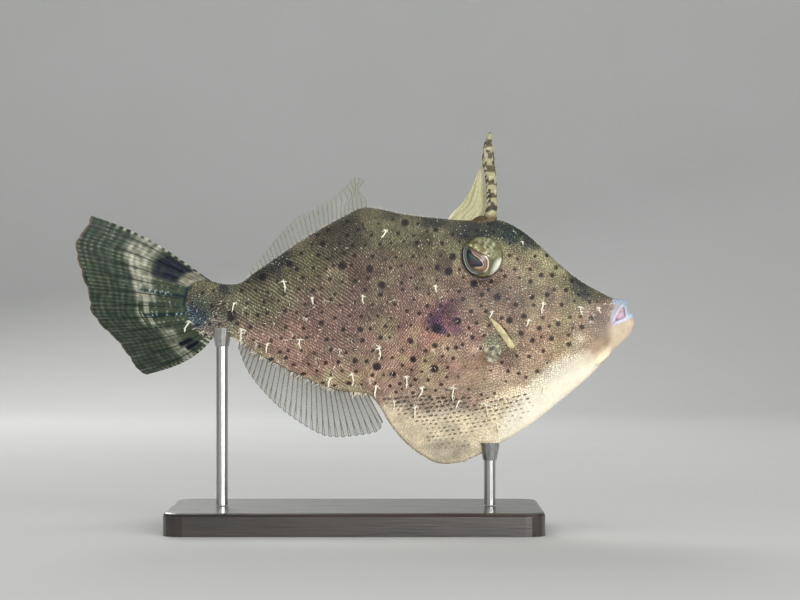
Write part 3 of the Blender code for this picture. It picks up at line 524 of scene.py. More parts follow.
def tube_faces(count, length, sides):
    """Faces of many capped tubes, each a run of rings, as triangles."""
    ring = np.arange(length - 1)[:, None] * sides
    a = (ring + np.arange(sides)).ravel()
    b = (ring + (np.arange(sides) + 1) % sides).ravel()
    walls = np.concatenate([np.stack([a, b, b + sides], -1), np.stack([a, b + sides, a + sides], -1)])
    fan = np.arange(1, sides - 1)
    cap = np.stack([np.zeros_like(fan), fan + 1, fan], -1)
    last = (length - 1) * sides
    one = np.concatenate([walls, cap, last + cap[:, ::-1]])
    shifts = np.arange(count)[:, None, None] * (length * sides)
    return (one[None] + shifts).reshape(-1, 3)


def tubes(paths, radii, sides, flatness=1, spare=(0, 1, 0)):
    """Tapered tubes along many paths with as many points each."""
    paths, radii = np.asarray(paths, float), np.asarray(radii, float)
    count, length = paths.shape[:2]
    heading = unit(np.gradient(paths, axis=1))
    spare = np.broadcast_to(np.asarray(spare, float), (count, 3))[:, None, :]
    across = unit(np.cross(heading, spare))
    up = np.cross(across, heading)
    turn = circle(sides, 0.5)
    ring = (across[:, :, None] * np.cos(turn)[:, None]
            + up[:, :, None] * (np.sin(turn)[:, None] * flatness))
    points = paths[:, :, None] + ring * radii[:, :, None, None]
    return points.reshape(-1, 3), tube_faces(count, length, sides)


def join(parts):
    """Many (points, faces) as one."""
    points, faces, start = [], [], 0
    for some_points, some_faces in parts:
        points.append(some_points)
        faces.append(np.asarray(some_faces) + start)
        start += len(some_points)
    return np.vstack(points), np.vstack(faces)


def sheet(grid, halves):
    """A closed thin solid round a grid of middle points: points and faces."""
    rows, cols = grid.shape[:2]
    normal = unit(np.cross(np.gradient(grid, axis=1), np.gradient(grid, axis=0)))
    points = np.concatenate([(grid + normal * halves[..., None]).reshape(-1, 3),
                             (grid - normal * halves[..., None]).reshape(-1, 3)])
    size = rows * cols
    index = np.arange(size).reshape(rows, cols)
    a, b = index[:-1, :-1].ravel(), index[:-1, 1:].ravel()
    c, d = index[1:, 1:].ravel(), index[1:, :-1].ravel()
    front = np.stack([a, b, c, d], -1)
    rear = np.stack([a, d, c, b], -1) + size
    rim = np.concatenate([index[0, :-1], index[:-1, -1], index[-1, :0:-1], index[:0:-1, 0]])
    following = np.roll(rim, -1)
    edge = np.stack([following, rim, rim + size, following + size], -1)
    return points, np.concatenate([front, rear, edge])


# Materials

class Shader:
    """A node material with short ways to add and link its nodes."""

    def __init__(self, name, **uniform):
        self.material = bpy.data.materials.new(name)
        self.material.use_nodes = True
        self.tree = self.material.node_tree
        self.surface = self.tree.nodes["Principled BSDF"]
        for socket, value in uniform.items():
            self.surface.inputs[socket.replace("_", " ")].default_value = value

    def add(self, kind, settings=(), **links):
        """A node; each link is a socket's name with a value or another node's output."""
        node = self.tree.nodes.new("ShaderNode" + kind)
        for key, value in dict(settings).items():
            setattr(node, key, value)
        for socket, value in links.items():
            self.feed(node.inputs[socket.replace("_", " ")], value)
        return node

    def feed(self, socket, value):
        if isinstance(value, bpy.types.NodeSocket):
            self.tree.links.new(value, socket)
        else:
            socket.default_value = value

    def place(self, stretch=(1, 1, 1)):
        """Coordinates of the object, in metres, stretched along its axes."""
        coordinates = self.add("TexCoord").outputs["Object"]
        return self.add("Mapping", Vector=coordinates, Scale=stretch).outputs["Vector"]

    def noise(self, size, detail=3, stretch=(1, 1, 1), distortion=0):
        """Noise from 0 to 1 whose features have one size in millimetres."""
        return self.add("TexNoise", Vector=self.place(stretch), Scale=1000 / size, Detail=detail,
                        Distortion=distortion).outputs["Fac"]

    def cells(self, size):
        """Distance to the nearest of many cells' centres, as a share of their size."""
        return self.add("TexVoronoi", Vector=self.place(), Scale=1000 / size).outputs["Distance"]

    def attribute(self, name, output="Color"):
        return self.add("Attribute", {"attribute_name": name}).outputs[output]

    def math(self, operation, first, second):
        node = self.add("Math", {"operation": operation})
        self.feed(node.inputs[0], first)
        self.feed(node.inputs[1], second)
        return node.outputs[0]

    def range(self, value, low, high, start, end):
        """A value's range from low..high turned into start..end, held at both ends."""
        return self.add("MapRange", Value=value, From_Min=low, From_Max=high, To_Min=start,
                        To_Max=end).outputs["Result"]

    def vary(self, size, detail, start, end):
        """A number that noise carries between a start and an end."""
        return self.range(self.noise(size, detail), 0.3, 0.7, start, end)

    def mix(self, share, first, second, kind="MIX"):
        node = self.add("Mix", {"data_type": "RGBA", "blend_type": kind})
        self.feed(node.inputs["Factor"], share)
        for socket, value in ((node.inputs[6], first), (node.inputs[7], second)):
            self.feed(socket, value if isinstance(value, bpy.types.NodeSocket) else (*value, 1))
        return node.outputs[2]

    def tinted(self, shade):
        """The colour held at the vertices, times a number."""
        grey = self.add("CombineColor", Red=shade, Green=shade, Blue=shade).outputs[0]
        return self.mix(1, self.attribute("tint"), grey, "MULTIPLY")

    def relief(self, height, reach):
        """Bump on the surface from a height from 0 to 1, reach in millimetres."""
        bump = self.add("Bump", Height=height, Distance=reach * MM, Strength=1)
        self.use("Normal", bump.outputs["Normal"])

    def use(self, socket, value):
        self.feed(self.surface.inputs[socket], value)


SPOT_BROWN = (0.11, 0.08, 0.085)
SPOT_DARK = (0.045, 0.03, 0.065)


def spotted(shader, colour):
    """The skin's colour with crisp spots where the spot value is high."""
    ragged = shader.math("MULTIPLY", shader.math("SUBTRACT", shader.noise(0.8, 2), 0.5), 0.42)
    value = shader.math("ADD", shader.attribute("spot", "Fac"), ragged)
    brown = shader.mix(shader.range(value, 0.30, 0.60, 0, 0.90), (1, 1, 1), SPOT_BROWN)
    dark = shader.mix(shader.range(value, 0.70, 0.98, 0, 0.95), brown, SPOT_DARK)
    return shader.mix(1, colour, dark, "MULTIPLY")


def skin_material():
    """Bare skin between the scales."""
    shader = Shader("filefish_skin", Specular_IOR_Level=0.42, Coat_Weight=0.08, Coat_Roughness=0.35)
    grain = shader.range(shader.cells(0.75), 0, 0.75, 1.05, 0.92)
    shade = shader.math("MULTIPLY", shader.vary(1.6, 4, 0.93, 1.06), grain)
    shader.use("Base Color", spotted(shader, shader.tinted(shade)))
    shader.use("Roughness", shader.vary(2.4, 3, 0.42, 0.62))
    height = shader.math("ADD", shader.range(shader.cells(0.75), 0, 0.7, 1, 0),
                         shader.math("MULTIPLY", shader.noise(0.3, 2), 0.4))
    shader.relief(height, 0.05)
    return shader.material


def scale_material():
    """Scales whose raised points are paler than the skin round them: partly their own pale tips, partly
    painted highlights.
    """
    shader = Shader("filefish_scales", Specular_IOR_Level=0.45, Coat_Weight=0.1, Coat_Roughness=0.3)
    shader.use("Base Color", spotted(shader, shader.tinted(shader.vary(0.5, 2, 0.86, 1.12))))
    shader.use("Roughness", shader.vary(1.2, 2, 0.36, 0.56))
    shader.relief(shader.noise(0.22, 2), 0.05)
    return shader.material


def painted_material(name, roughness, bump_size, bump_reach, level=0.4, clear=False, **coat):
    """A surface whose colour is held at its vertices, with fine grain, see-through if asked."""
    shader = Shader(name, Specular_IOR_Level=level, **coat)
    shader.use("Base Color", shader.tinted(shader.vary(bump_size * 2, 3, 0.88, 1.10)))
    shader.use("Roughness", shader.vary(1.5, 2, roughness - 0.08, roughness + 0.08))
    shader.relief(shader.noise(bump_size, 3), bump_reach)
    if clear:
        shader.use("Alpha", shader.attribute("alpha", "Fac"))
    return shader.material


def clear_material(name, level, roughness=0.35):
    """A thin fin: see-through where its alpha value is low."""
    return painted_material(name, roughness, 0.5, 0.06, level, True)


# Skin

def body_mesh():
    """The whole body as one fine loft."""
    ends = (np.array([-59.9, -59.7, -59.3, -58.7, -58]),
            np.array([94.5, 94.7, 94.9, 95, 95.1, 95.4, 95.8, 96.2, 96.6, 97, 97.3, 97.5]))
    xs = np.concatenate([ends[0], np.linspace(-57.2, 94, 216), ends[1]])
    steps = 60
    t = (1 - np.cos(np.pi * np.arange(steps + 1) / steps)) / 2
    top, keel = back_line(xs)[:, None], keel_line(xs)[:, None]
    x = np.repeat(xs[:, None], steps + 1, axis=1)
    z = top + (keel - top) * t
    reach = np.maximum(half_width(x, z) - SKIN_INSET, 0.05)
    reach[:, [0, -1]] = 0
    x = x - SKIN_INSET * np.clip((x - 19) / 78, -1, 1)
    z = z - SKIN_INSET * (1 - 2 * t)
    right, left = at(x, -reach, z), at(x, reach, z)[:, -2:0:-1]
    rings = np.concatenate([right, left], axis=1)
    return rings.reshape(-1, 3), tube_faces(1, len(xs), rings.shape[1])


def plain_object(name, points, faces):
    """A helper mesh in millimetres with its faces turned outwards, used only to shape the skin."""
    obj = link_mesh(name, points, faces)
    form = bmesh.new()
    form.from_mesh(obj.data)
    bmesh.ops.recalc_face_normals(form, faces=form.faces)
    form.to_mesh(obj.data)
    form.free()
    return obj


def dome(around, rings, share=1):
    """Points on a ball of radius 1, or on its upper share, in rings from the top down."""
    lift = (share * np.pi * (np.arange(rings) + 0.5) / rings)[:, None]
    turn = circle(around)
    return at(np.sin(lift) * np.cos(turn), np.sin(lift) * np.sin(turn), np.cos(lift)).reshape(-1, 3)


def globe(centre, radii, around=64, rings=40):
    """Points and triangles of a ball."""
    return dome(around, rings) * np.array(radii) + np.array(centre), tube_faces(1, rings, around)


def prism(corners, low, high):
    """A side view carried across from y = low to y = high."""
    count = len(corners)
    points = [(x, y, z) for y in (low, high) for x, z in corners]
    faces = [tuple(range(count)), tuple(range(2 * count - 1, count - 1, -1))]
    for i in range(count):
        j = (i + 1) % count
        faces.append((i, j, count + j, count + i))
    return points, faces


def lip_roll(line, radius):
    """A roll along one lip, round the snout from corner to corner."""
    x, z, share = np.array(line).T
    right = at(x, -half_width(x, z) * share, z)
    front = np.array([[x[-1] + 0.25, 0, z[-1]]])
    path = catmull(np.vstack([right, front, right[::-1] * np.array([1, -1, 1])]), 5)
    swell = np.sin(np.pi * spread(len(path))) ** 0.5
    return tubes([path], [radius * (0.5 + 0.5 * swell)], 14, spare=(0.3, 0.1, 1))


def lid_roll(side, radius, thick, out):
    """The fold of skin round one eye."""
    steps, sides = 72, 12
    turn, roll = circle(steps), circle(sides)
    away = at(np.cos(turn), 0, np.sin(turn))
    centre = skin_point(EYE.x + radius * away[:, 0], EYE.z + radius * away[:, 2], side, out)
    points = (centre[:, None] + away[:, None] * (thick * np.cos(roll))[:, None]
              + np.array([0, side, 0]) * (thick * np.sin(roll))[:, None])
    a = np.arange(steps)[:, None] * sides + np.arange(sides)
    b = np.roll(a, -1, 1)
    faces = np.stack([a, np.roll(a, -1, 0), np.roll(b, -1, 0), b], -1).reshape(-1, 4)
    return points.reshape(-1, 3), faces


def pit(x, z, side, mouth_radius, depth):
    """A cutter for a nostril, narrowing inwards."""
    path = np.linspace(skin_point(x, z, side, -depth), skin_point(x, z, side, 1), 6)
    return tubes([path], [np.linspace(0.25, mouth_radius, 6)], 16, spare=(0, 0, 1))


def gill_cutter(side):
    """A cutter for the slit in front of the gill's pale rim."""
    ahead = np.array([0.78, 0.62])
    x, z = (catmull(GILL_LINE, 4) + ahead * 0.95).T
    grid = np.stack([skin_point(x, z, side, out) for out in (-1.9, -0.6, 0.6, 1.9)])
    taper = 0.12 + 0.34 * np.sin(np.pi * np.linspace(0.02, 0.98, len(x)))
    return sheet(grid, np.repeat(taper[None], len(grid), axis=0))


def skin_form():
    """The skin's mesh in millimetres: cut, with its folds fused, and evened out."""
    skin = plain_object("skin_form", *body_mesh())
    cutters = []
    for side in (-1, 1):
        cutters.append(prism(MOUTH_OPENING, side * MOUTH_WALL, side * 12))
        cutters.append(globe((EYE.x, side * EYE.y, EYE.z), [r + 0.1 for r in EYE_RADII]))
        cutters.append(gill_cutter(side))
        cutters += [pit(x, z, side, 0.62, 1.2) for x, z in NOSTRILS]
    holder = bpy.data.collections.new("cutters")
    bpy.context.scene.collection.children.link(holder)
    for points, faces in cutters:
        cutter = plain_object("cutter", points, faces)
        bpy.context.scene.collection.objects.unlink(cutter)
        holder.objects.link(cutter)
    cut = skin.modifiers.new("cut", "BOOLEAN")
    cut.operation, cut.operand_type, cut.solver = "DIFFERENCE", "COLLECTION", "MANIFOLD"
    cut.collection = holder
    graph = bpy.context.evaluated_depsgraph_get()
    carved = bpy.data.meshes.new_from_object(skin.evaluated_get(graph))
    for cutter in list(holder.objects):
        bpy.data.objects.remove(cutter)
    bpy.data.collections.remove(holder)
    skin.modifiers.clear()

    folds = [lip_roll(UPPER_LIP, 0.52), lip_roll(LOWER_LIP, 0.5)]
    folds += [lid_roll(side, LID_RADIUS, 0.36, 0.05) for side in (-1, 1)]
    points = [np.array([v.co[:] for v in carved.vertices])]
    faces = [list(p.vertices) for p in carved.polygons]
    start = len(points[0])
    folds += [globe(centre, radii, 24, 16) for centre, radii in MOUNDS]
    for some_points, some_faces in folds:
        points.append(some_points)
        faces += (np.asarray(some_faces) + start).tolist()
        start += len(some_points)
    whole = plain_object("skin_whole", np.vstack(points), faces)
    even = whole.modifiers.new("even", "REMESH")
    even.mode, even.voxel_size = "VOXEL", VOXEL
    soften = whole.modifiers.new("soften", "SMOOTH")
    soften.factor, soften.iterations = 0.5, 4
    graph = bpy.context.evaluated_depsgraph_get()
    mesh = bpy.data.meshes.new_from_object(whole.evaluated_get(graph))
    bpy.data.objects.remove(whole)
    bpy.data.objects.remove(skin)
    points = np.empty(len(mesh.vertices) * 3)
    mesh.vertices.foreach_get("co", points)
    faces = [list(p.vertices) for p in mesh.polygons]
    return points.reshape(-1, 3), faces


def blend(tone, other, share):
    return tone + (other - tone) * share[:, None]


def coats(tone, *layers):
    """A tone under layers of (colour, share), laid on in turn."""
    for colour, share in layers:
        tone = blend(tone, colour, share)
    return tone


def oval(x, z, centre, reach, lean):
    """Places as shares of an oval's two reaches, along it and across it."""
    turn = math.radians(lean)
    dx, dz = x - centre[0], z - centre[1]
    return ((dx * math.cos(turn) + dz * math.sin(turn)) / reach[0],
            (dz * math.cos(turn) - dx * math.sin(turn)) / reach[1])


def blot(x, z, centre, reach, lean=0):
    """How near places are to the middle of a soft oval, from 0 to 1."""
    along_it, across_it = oval(x, z, centre, reach, lean)
    return np.exp(-along_it ** 2 - across_it ** 2)


def path_distance(x, z, path):
    """Distance seen from the side to a path of (along, up)."""
    path = np.array(path, float)[:, :2]
    places = np.stack([x, z], -1)
    best = np.full(len(x), 1e9)
    for a, b in zip(path, path[1:]):
        run = b - a
        t = np.clip(((places - a) @ run) / (run @ run), 0, 1)
        best = np.minimum(best, np.linalg.norm(places - a - t[:, None] * run, axis=1))
    return best


def smooth_share(x, z):
    """How bare of scales the skin is: fully so along the throat's pale edge."""
    rim = (z - keel_line(x)) * np.where(x > 50, 0.75, 1)
    return rise(x, 50, 12) * fall(rim, 10.5, 5)


def warped(places, seeds, column):
    """One coordinate of the places, moved about by coarse and fine noise."""
    coarse, fine = (noise(places, size, seed) - 0.5 for size, seed in zip((6, 2.2), seeds))
    return places[:, column] + 4.4 * coarse + 1.6 * fine


def skin_tone(places):
    """The skin's colour without its spots, at places in millimetres."""
    wide, fine = noise(places, 9, 1), noise(places, 3.2, 2)
    x, z = warped(places, (3, 4), 0), warped(places, (5, 6), 2)
    true_x, true_z = places[:, 0], places[:, 2]
    top, keel, belly = back_line(x), keel_line(x), belly_line(x)
    below, above, under = top - z, z - keel, belly - z
    calm = rise(x, 0, 24) * fall(z - belly, 17 + 5 * rise(x, 34, 10), 15)
    loud = 1 - 0.6 * calm
    keeled = rise(true_x, 3, 5)
    low = under + 6.5 * rise(true_x, 36, 14)
    tone = coats(
        OLIVE,
        (GREY, 0.6 * fall(below, 5, 4)),
        (YELLOW, 0.55 * rise(below, 3, 8)),
        (MAUVE, 0.9 * rise(below, 12, 14)),
        (SAND, np.maximum(0.88 * calm, 0.22 * fall(z - belly, 9, 9))),
        (CHEEK, 0.8 * rise(x, 45, 18) * rise(below, 6, 6)),
        (GREEN, 0.75 * fall(x, -38, 6)),
        (YELLOW, 0.45 * loud * rise(wide, 0.48, 0.3)),
        (UMBER, 0.42 * loud * fall(noise(places, 4.2, 8), 0.44, 0.2)),
        (GOLD, 0.35 * loud * rise(noise(places, 3.4, 9), 0.56, 0.2)),
        (PINK, 0.25 * loud * fall(wide, 0.42, 0.25) * rise(below, 10, 8)),
        (BEIGE, keeled * rise(low, 0.5, 5)))
    patchy = 0.62 + 0.76 * noise(places, 2.4, 7)
    for px, pz, reach_x, reach_z, lean, colour, strength in PATCHES:
        far = np.hypot(*oval(x, z, (px, pz), (reach_x, reach_z), lean))
        tone = blend(tone, colour, np.minimum(strength * patchy, 0.95) * fall(far, 1.3, 0.65))
    height = np.clip((z - belly) / (top - belly), 0, 1)
    # Darker towards the back and lighter towards the belly and the head: partly the fish's own
    # countershading, partly painted light falling from the front and below.
    countershade_and_light = 0.43 + 0.72 * fall(height, 0.52, 0.5)
    countershade_and_light = countershade_and_light * (1 + (0.35 + 0.45 * rise(height, 0.1, 0.4)) * rise(true_x, 22, 34))
    countershade_and_light = countershade_and_light * (1 + 0.14 * rise(true_x, 12, 14))
    tone = tone * np.where(under < 0, countershade_and_light, np.minimum(countershade_and_light, 1))[:, None]
    for px, pz, reach_x, reach_z, factor in SHADES:
        share = blot(true_x, true_z, (px, pz), (1.2 * reach_x, 1.2 * reach_z))
        tone = tone * (1 + (np.array(factor) - 1) * share[:, None])
    rim = above * np.where(true_x > 50, 0.75, 1)
    edge = fall(rim, 2.6 + 11.6 * rise(true_x, 42, 20) - 15.2 * rise(true_x, 76, 13), 4.5)
    rear = (true_x < 6) & (true_x > -42)
    tone = coats(tone,
                 (blend(BEIGE, CREAM, rise(true_x, 34, 22)), keeled * edge),
                 (BEIGE, np.where(rear, 0.6, 0) * fall(above, 2.6, 2)))
    rough = 1 - 0.8 * edge * keeled
    shade = 1 + rough * (0.56 * (fine - 0.5) + 0.26 * (noise(places, 1.5, 10) - 0.5))
    chin_top = -7.8 + 1.9 * rise(true_x, 90.5, 5)
    smooth_chin = rise(true_x, 87.5, 3) * fall(true_z, chin_top, 1)
    return mouth_tone(places, blend(tone * shade[:, None], CHIN, smooth_chin * 0.85))


def mouth_tone(places, tone):
    """The skin's colour with the lips, the mouth and the folds round the eye and the spine, with painted
    shade inside the mouth, at its corner and in the crease round the eye, and a painted highlight on the
    lower lip's tip.
    """
    x, z = places[:, 0], places[:, 2]
    for px, pz, reach_x, reach_z, lean in SNOUT_FLECKS:
        tone = blend(tone, CREAM, 0.9 * blot(x, z, (px, pz), (reach_x, reach_z), lean))
    face, lower = path_distance(x, z, UPPER_LIP), path_distance(x, z, LOWER_LIP)
    top = back_line(x) - z
    soft = noise(places, 1.6, 11)
    crest = 1.5 * fall(top, 2.8, 1.6) * rise(x, 88.6, 1.6)
    upper_share = fall(face, 2.5 + crest + 0.9 * (soft - 0.5), 1.2) * rise(x, 88.2, 1.6) * rise(z, -8.6, 1)
    edge = np.maximum(fall(top, 2.5, 1.4) * rise(x, 89.4, 1.6), rise(x, 94, 0.5) * rise(z, -5.2, 0.8))
    lower_share = fall(lower, 0.95, 0.5) * rise(x, 89.6, 1)
    tone = coats(
        tone,
        (SNOUT_EDGE, 0.6 * fall(face, 4.4, 2.2) * rise(x, 85.5, 2.5) * rise(soft, 0.3, 0.4)),
        (LIP, upper_share),
        (LIP_BLUE_AND_HIGHLIGHT, 0.75 * upper_share * edge * (0.7 + 0.5 * soft)),
        (LIP_WHITE, 0.9 * fall(face, 0.62, 0.35) * fall(x, 94, 0.5) * rise(x, 89.8, 0.5)),
        (LIP, lower_share),
        # On the lower lip's tip the pale blue is a painted highlight.
        (LIP_BLUE_AND_HIGHLIGHT, 0.8 * lower_share * rise(x, 94.6, 0.8)))
    inner = inside(x, z, MOUTH_OPENING, 0.2) & (np.abs(places[:, 1]) < 2.6)
    # Deeper in the mouth the colour darkens, a painted shade, and the dark blots on its inner wall by the
    # teeth and near its rear corner are painted shadow.
    tone = np.where(inner[:, None], blend(MOUTH, MOUTH_DEEP_SHADE, fall(x, 93.2, 2.6)), tone)
    for centre, reach in (((92.9, -3.4), 0.45), ((91.2, -6.9), 0.5), ((93.6, -2.8), 0.3)):
        share = np.where(inner, 0.9, 0) * blot(x, z, centre, (reach, reach))
        tone = blend(tone, srgb(112, 88, 88), share)
    # A dark ring in the crease round the eye, strongest behind and below it: painted shade.
    dx, dz = x - EYE.x, z - EYE.z
    behind = ease((1 - 0.8 * (dx + 0.7 * dz) / 7) / 1.6)
    socket = np.exp(-((np.hypot(dx, dz) - LID_RADIUS) / 0.5) ** 2) * behind
    mound = np.linalg.norm((places - np.array([44.4, 0, 27.2])) / np.array([4.6, 2.8, 3.2]), axis=1)
    return coats(tone,
                 # The grey blot at the mouth's corner is painted shade.
                 (srgb(92, 90, 84), 0.8 * blot(x, z, (90.4, -7.5), (0.55, 0.3), 25)),
                 (srgb(44, 34, 26), 0.85 * socket),
                 (srgb(100, 78, 52), 0.8 * fall(mound, 1.25, 0.5)))


def inside(x, z, corners, slack):
    """Whether places seen from the side lie within an outline or near it."""
    hit = np.zeros(len(x), bool)
    for (ax, az), (bx, bz) in zip(corners, corners[1:] + corners[:1]):
        crosses = (az > z) != (bz > z)
        level = ax + (z - az) * (bx - ax) / (bz - az if bz != az else 1e-9)
        hit ^= crosses & (x < level)
    return hit | (path_distance(x, z, corners + corners[:1]) < slack)


def spot_marks(side):
    """All spots of one side: along, up, reach along, reach up, lean, strength."""
    draw = np.random.default_rng(11 if side < 0 else 12)
    marks = []
    for x, z, radius in SPOTS:
        shift = np.zeros(2) if side < 0 else draw.uniform(-1.6, 1.6, 2)
        over_flap = float(fall(z, -14, 6) * rise(x, 0, 8)) * (radius < 1.08)
        strength = (1.05 if radius > 1.1 else 0.92) - 0.16 * over_flap
        reach = radius * (1.15 - 0.25 * over_flap)
        marks.append((x + shift[0], z + shift[1], reach, reach, 0, strength))
    listed = np.array([mark[:2] for mark in marks])
    for row, z in enumerate(np.arange(-58, 34, ROW_PITCH), 1):
        for x in np.arange(-58 + (row % 2) * SPOT_PITCH / 2, 90, SPOT_PITCH):
            px, pz = np.array([x, z]) + draw.uniform(-1.25, 1.25, 2)
            size, strength = draw.uniform(0.60, 1), draw.uniform(0.66, 0.94)
            above = (pz - keel_line(px)) * (0.75 if px > 50 else 1)
            under = belly_line(px) - pz
            off_skin = not keel_line(px) + 1 < pz < back_line(px) - 1
            taken = np.min(np.linalg.norm(listed - (px, pz), axis=1)) < 2.8
            on_keel = px > 5 and (above < (6 if px < 52 else 13) or under > -1)
            if off_skin or taken or on_keel:
                continue
            flat_out = rise(under, -8, 8)
            marks.append((px, pz, size * (1 + 0.5 * flat_out), size * (1 - 0.25 * flat_out),
                          10, strength))
    return marks + keel_dashes(draw)


def keel_dashes(draw):
    """Rows of short dark dashes over the keel, rising towards the head."""
    marks = []
    rows = 14
    for row in range(rows):
        large = 1 - 0.24 * ease(row / 6)
        first = 10 + 15 * rise(row, 2, 6)
        for step in range(24):
            x = 10 + 0.9 * row + 1.98 * step + draw.uniform(-0.3, 0.3)
            z = -34.6 - 1.36 * row + 0.10 * step + 0.009 * step ** 2 + draw.uniform(-0.2, 0.2)
            above = z - keel_line(x)
            if above < 5 or x > 64 or x < first or z > belly_line(x) + 2.5:
                continue
            fade = (1 - 0.22 * row / (rows - 1)) * (1 - 0.25 * fall(above, 12, 6))
            marks.append((x, z, draw.uniform(0.9, 1.3) * large, 0.54 * large, 13,
                          draw.uniform(0.58, 0.98) * fade))
    return marks


def spot_value(places):
    """How much each place belongs to a spot, from 0 to about 1."""
    value = np.zeros(len(places))
    for side in (-1, 1):
        rows = np.flatnonzero(places[:, 1] * side > 0)
        x, z = places[rows, 0], places[rows, 2]
        here = np.zeros(len(rows))
        for px, pz, reach_x, reach_z, lean, strength in spot_marks(side):
            near = np.flatnonzero((np.abs(x - px) < 3.2) & (np.abs(z - pz) < 3.2))
            far = np.hypot(*oval(x[near], z[near], (px, pz), (reach_x, reach_z), lean))
            here[near] = np.maximum(here[near], strength * fall(far, 1.55, 1.35))
        value[rows] = here
    return value


def plate_share(x, z):
    """How far places lie on the thin keel, below the thick body."""
    return 0.55 * ease((belly_line(x) - z) / 5) * (x > 6)


def build_skin():
    points, faces = skin_form()
    x, z = points[:, 0], points[:, 2]
    plain = np.maximum(smooth_share(x, z), plate_share(x, z))
    add_object("skin", points, faces, skin_material(), "skin",
               ("head", "lower_jaw", "torso", "pelvic_flap", "tail_stem"),
               tint=skin_tone(points) * (GROUND + (1 - GROUND) * plain)[:, None], spot=spot_value(points))
    return BVHTree.FromPolygons(points.tolist(), faces)


# Scales and tassels

def unwrap(x, z, side):
    """Place on an unwrap of the body: along it, and round it from back to keel."""
    round_share = (back_line(x) - z) / (back_line(x) - keel_line(x))
    across = 0.01 + 0.47 * np.clip(round_share, 0, 1)
    return np.stack([(x + 62) / 162, np.where(side < 0, across, 1 - across)], -1)


def head_share(x):
    """How much the scales have the round form of the head's and the tail stem's."""
    return rise(x, 40, 18) + fall(x, -42, 8)


def scale_places(side):
    """Staggered columns of places down the side: long scales on the flank, round ones on the head."""
    places, x, row, count = [], -58.6, 0, 400
    draw = np.random.default_rng(3)
    while x < 92.5:
        head = head_share(x)
        pitch = 1.20 - 0.34 * head
        z = np.linspace(back_line(x) - 0.15, keel_line(x) + 0.15, count)
        steps = np.linalg.norm(np.diff(skin_point(np.full(count, x), z, side), axis=0), axis=1)
        run = np.concatenate([[0], np.cumsum(steps)])
        start = 0.5 * (row % 2) + 0.25 + 0.2 * math.sin(0.31 * row)
        start += 0.55 * rise(x, 24, 14) * draw.random()
        z = np.interp(np.arange(start * pitch, run[-1], pitch), run, z)
        wave = 0.9 * np.sin(z / 6.5 + 0.8 * side) + 0.3 * np.sin(z / 2.3 + x / 17)
        places.append(np.stack([x + wave * min(1, (x + 59) / 8, (93 - x) / 8), z], -1))
        x += 0.46 + 0.19 * head
        row += 1
    return np.vstack(places)


def scale_lean(x, z):
    """How far the scales lean from upright, in radians: forwards at the top where above zero."""
    low = ease((-z - 12) / 12) * rise(x, -12, 22) * fall(x, 66, 20)
    places = at(x, 0, z)
    return np.radians(-14 + 50 * low + 30 * (noise(places, 7, 22) - 0.5))


def build_scales(tree):
    """Small raised scales, each a low ridge with a pale point that is partly a painted highlight, set in
    staggered columns over the skin.
    """
    material = scale_material()
    draw = np.random.default_rng(5)
    for side, word in SIDES:
        flat_places = scale_places(side)
        loose = 0.10 + 0.04 * head_share(flat_places[:, :1])
        flat_places += draw.normal(0, 1, flat_places.shape) * loose
        surface = skin_point(flat_places[:, 0], flat_places[:, 1], side)
        roots, normals = [], []
        for place in surface:
            hit, normal, _, distance = tree.find_nearest(Vector(place))
            if distance < 0.45 and normal.y * side > -0.2:
                roots.append(hit[:])
                normals.append(normal[:])
        roots, normals = np.array(roots), unit(np.array(normals))
        x, z = roots[:, 0], roots[:, 2]
        size = (0.70 + 0.30 * noise(roots, 1.3, 21)) * (1 - 0.20 * rise(x, 78, 10))
        size *= 1 - 0.15 * ease((belly_line(x) - z) / 3) * (x > 5)
        size *= 1 - 0.75 * smooth_share(x, z)
        lips = np.minimum(path_distance(x, z, UPPER_LIP), path_distance(x, z, LOWER_LIP))
        size *= rise(lips, 1.2, 1.6) * rise(np.hypot(x - EYE.x, z - EYE.z), 7.1, 0.5)
        keep = size > 0.28
        roots, normals, size = roots[keep], normals[keep], size[keep]
        bounds = np.array_split(np.argsort(roots[:, 0], kind="stable"), 3)
        for part, chosen in zip(("rear", "middle", "front"), bounds):
            scale_piece("scales_%s_%s" % (word, part), roots[chosen], normals[chosen], size[chosen],
                        side, material, draw)


def glint(tone):
    """The paler colour of a scale's raised point on skin of a tone: partly the scale's own pale tip, partly
    a painted highlight.
    """
    light = np.clip(tone.mean(axis=1, keepdims=True) / 0.10, 0.3, 1)
    return tone * 1.9 + np.maximum(srgb(242, 218, 186) - tone * 1.9, 0) * 0.36 * light


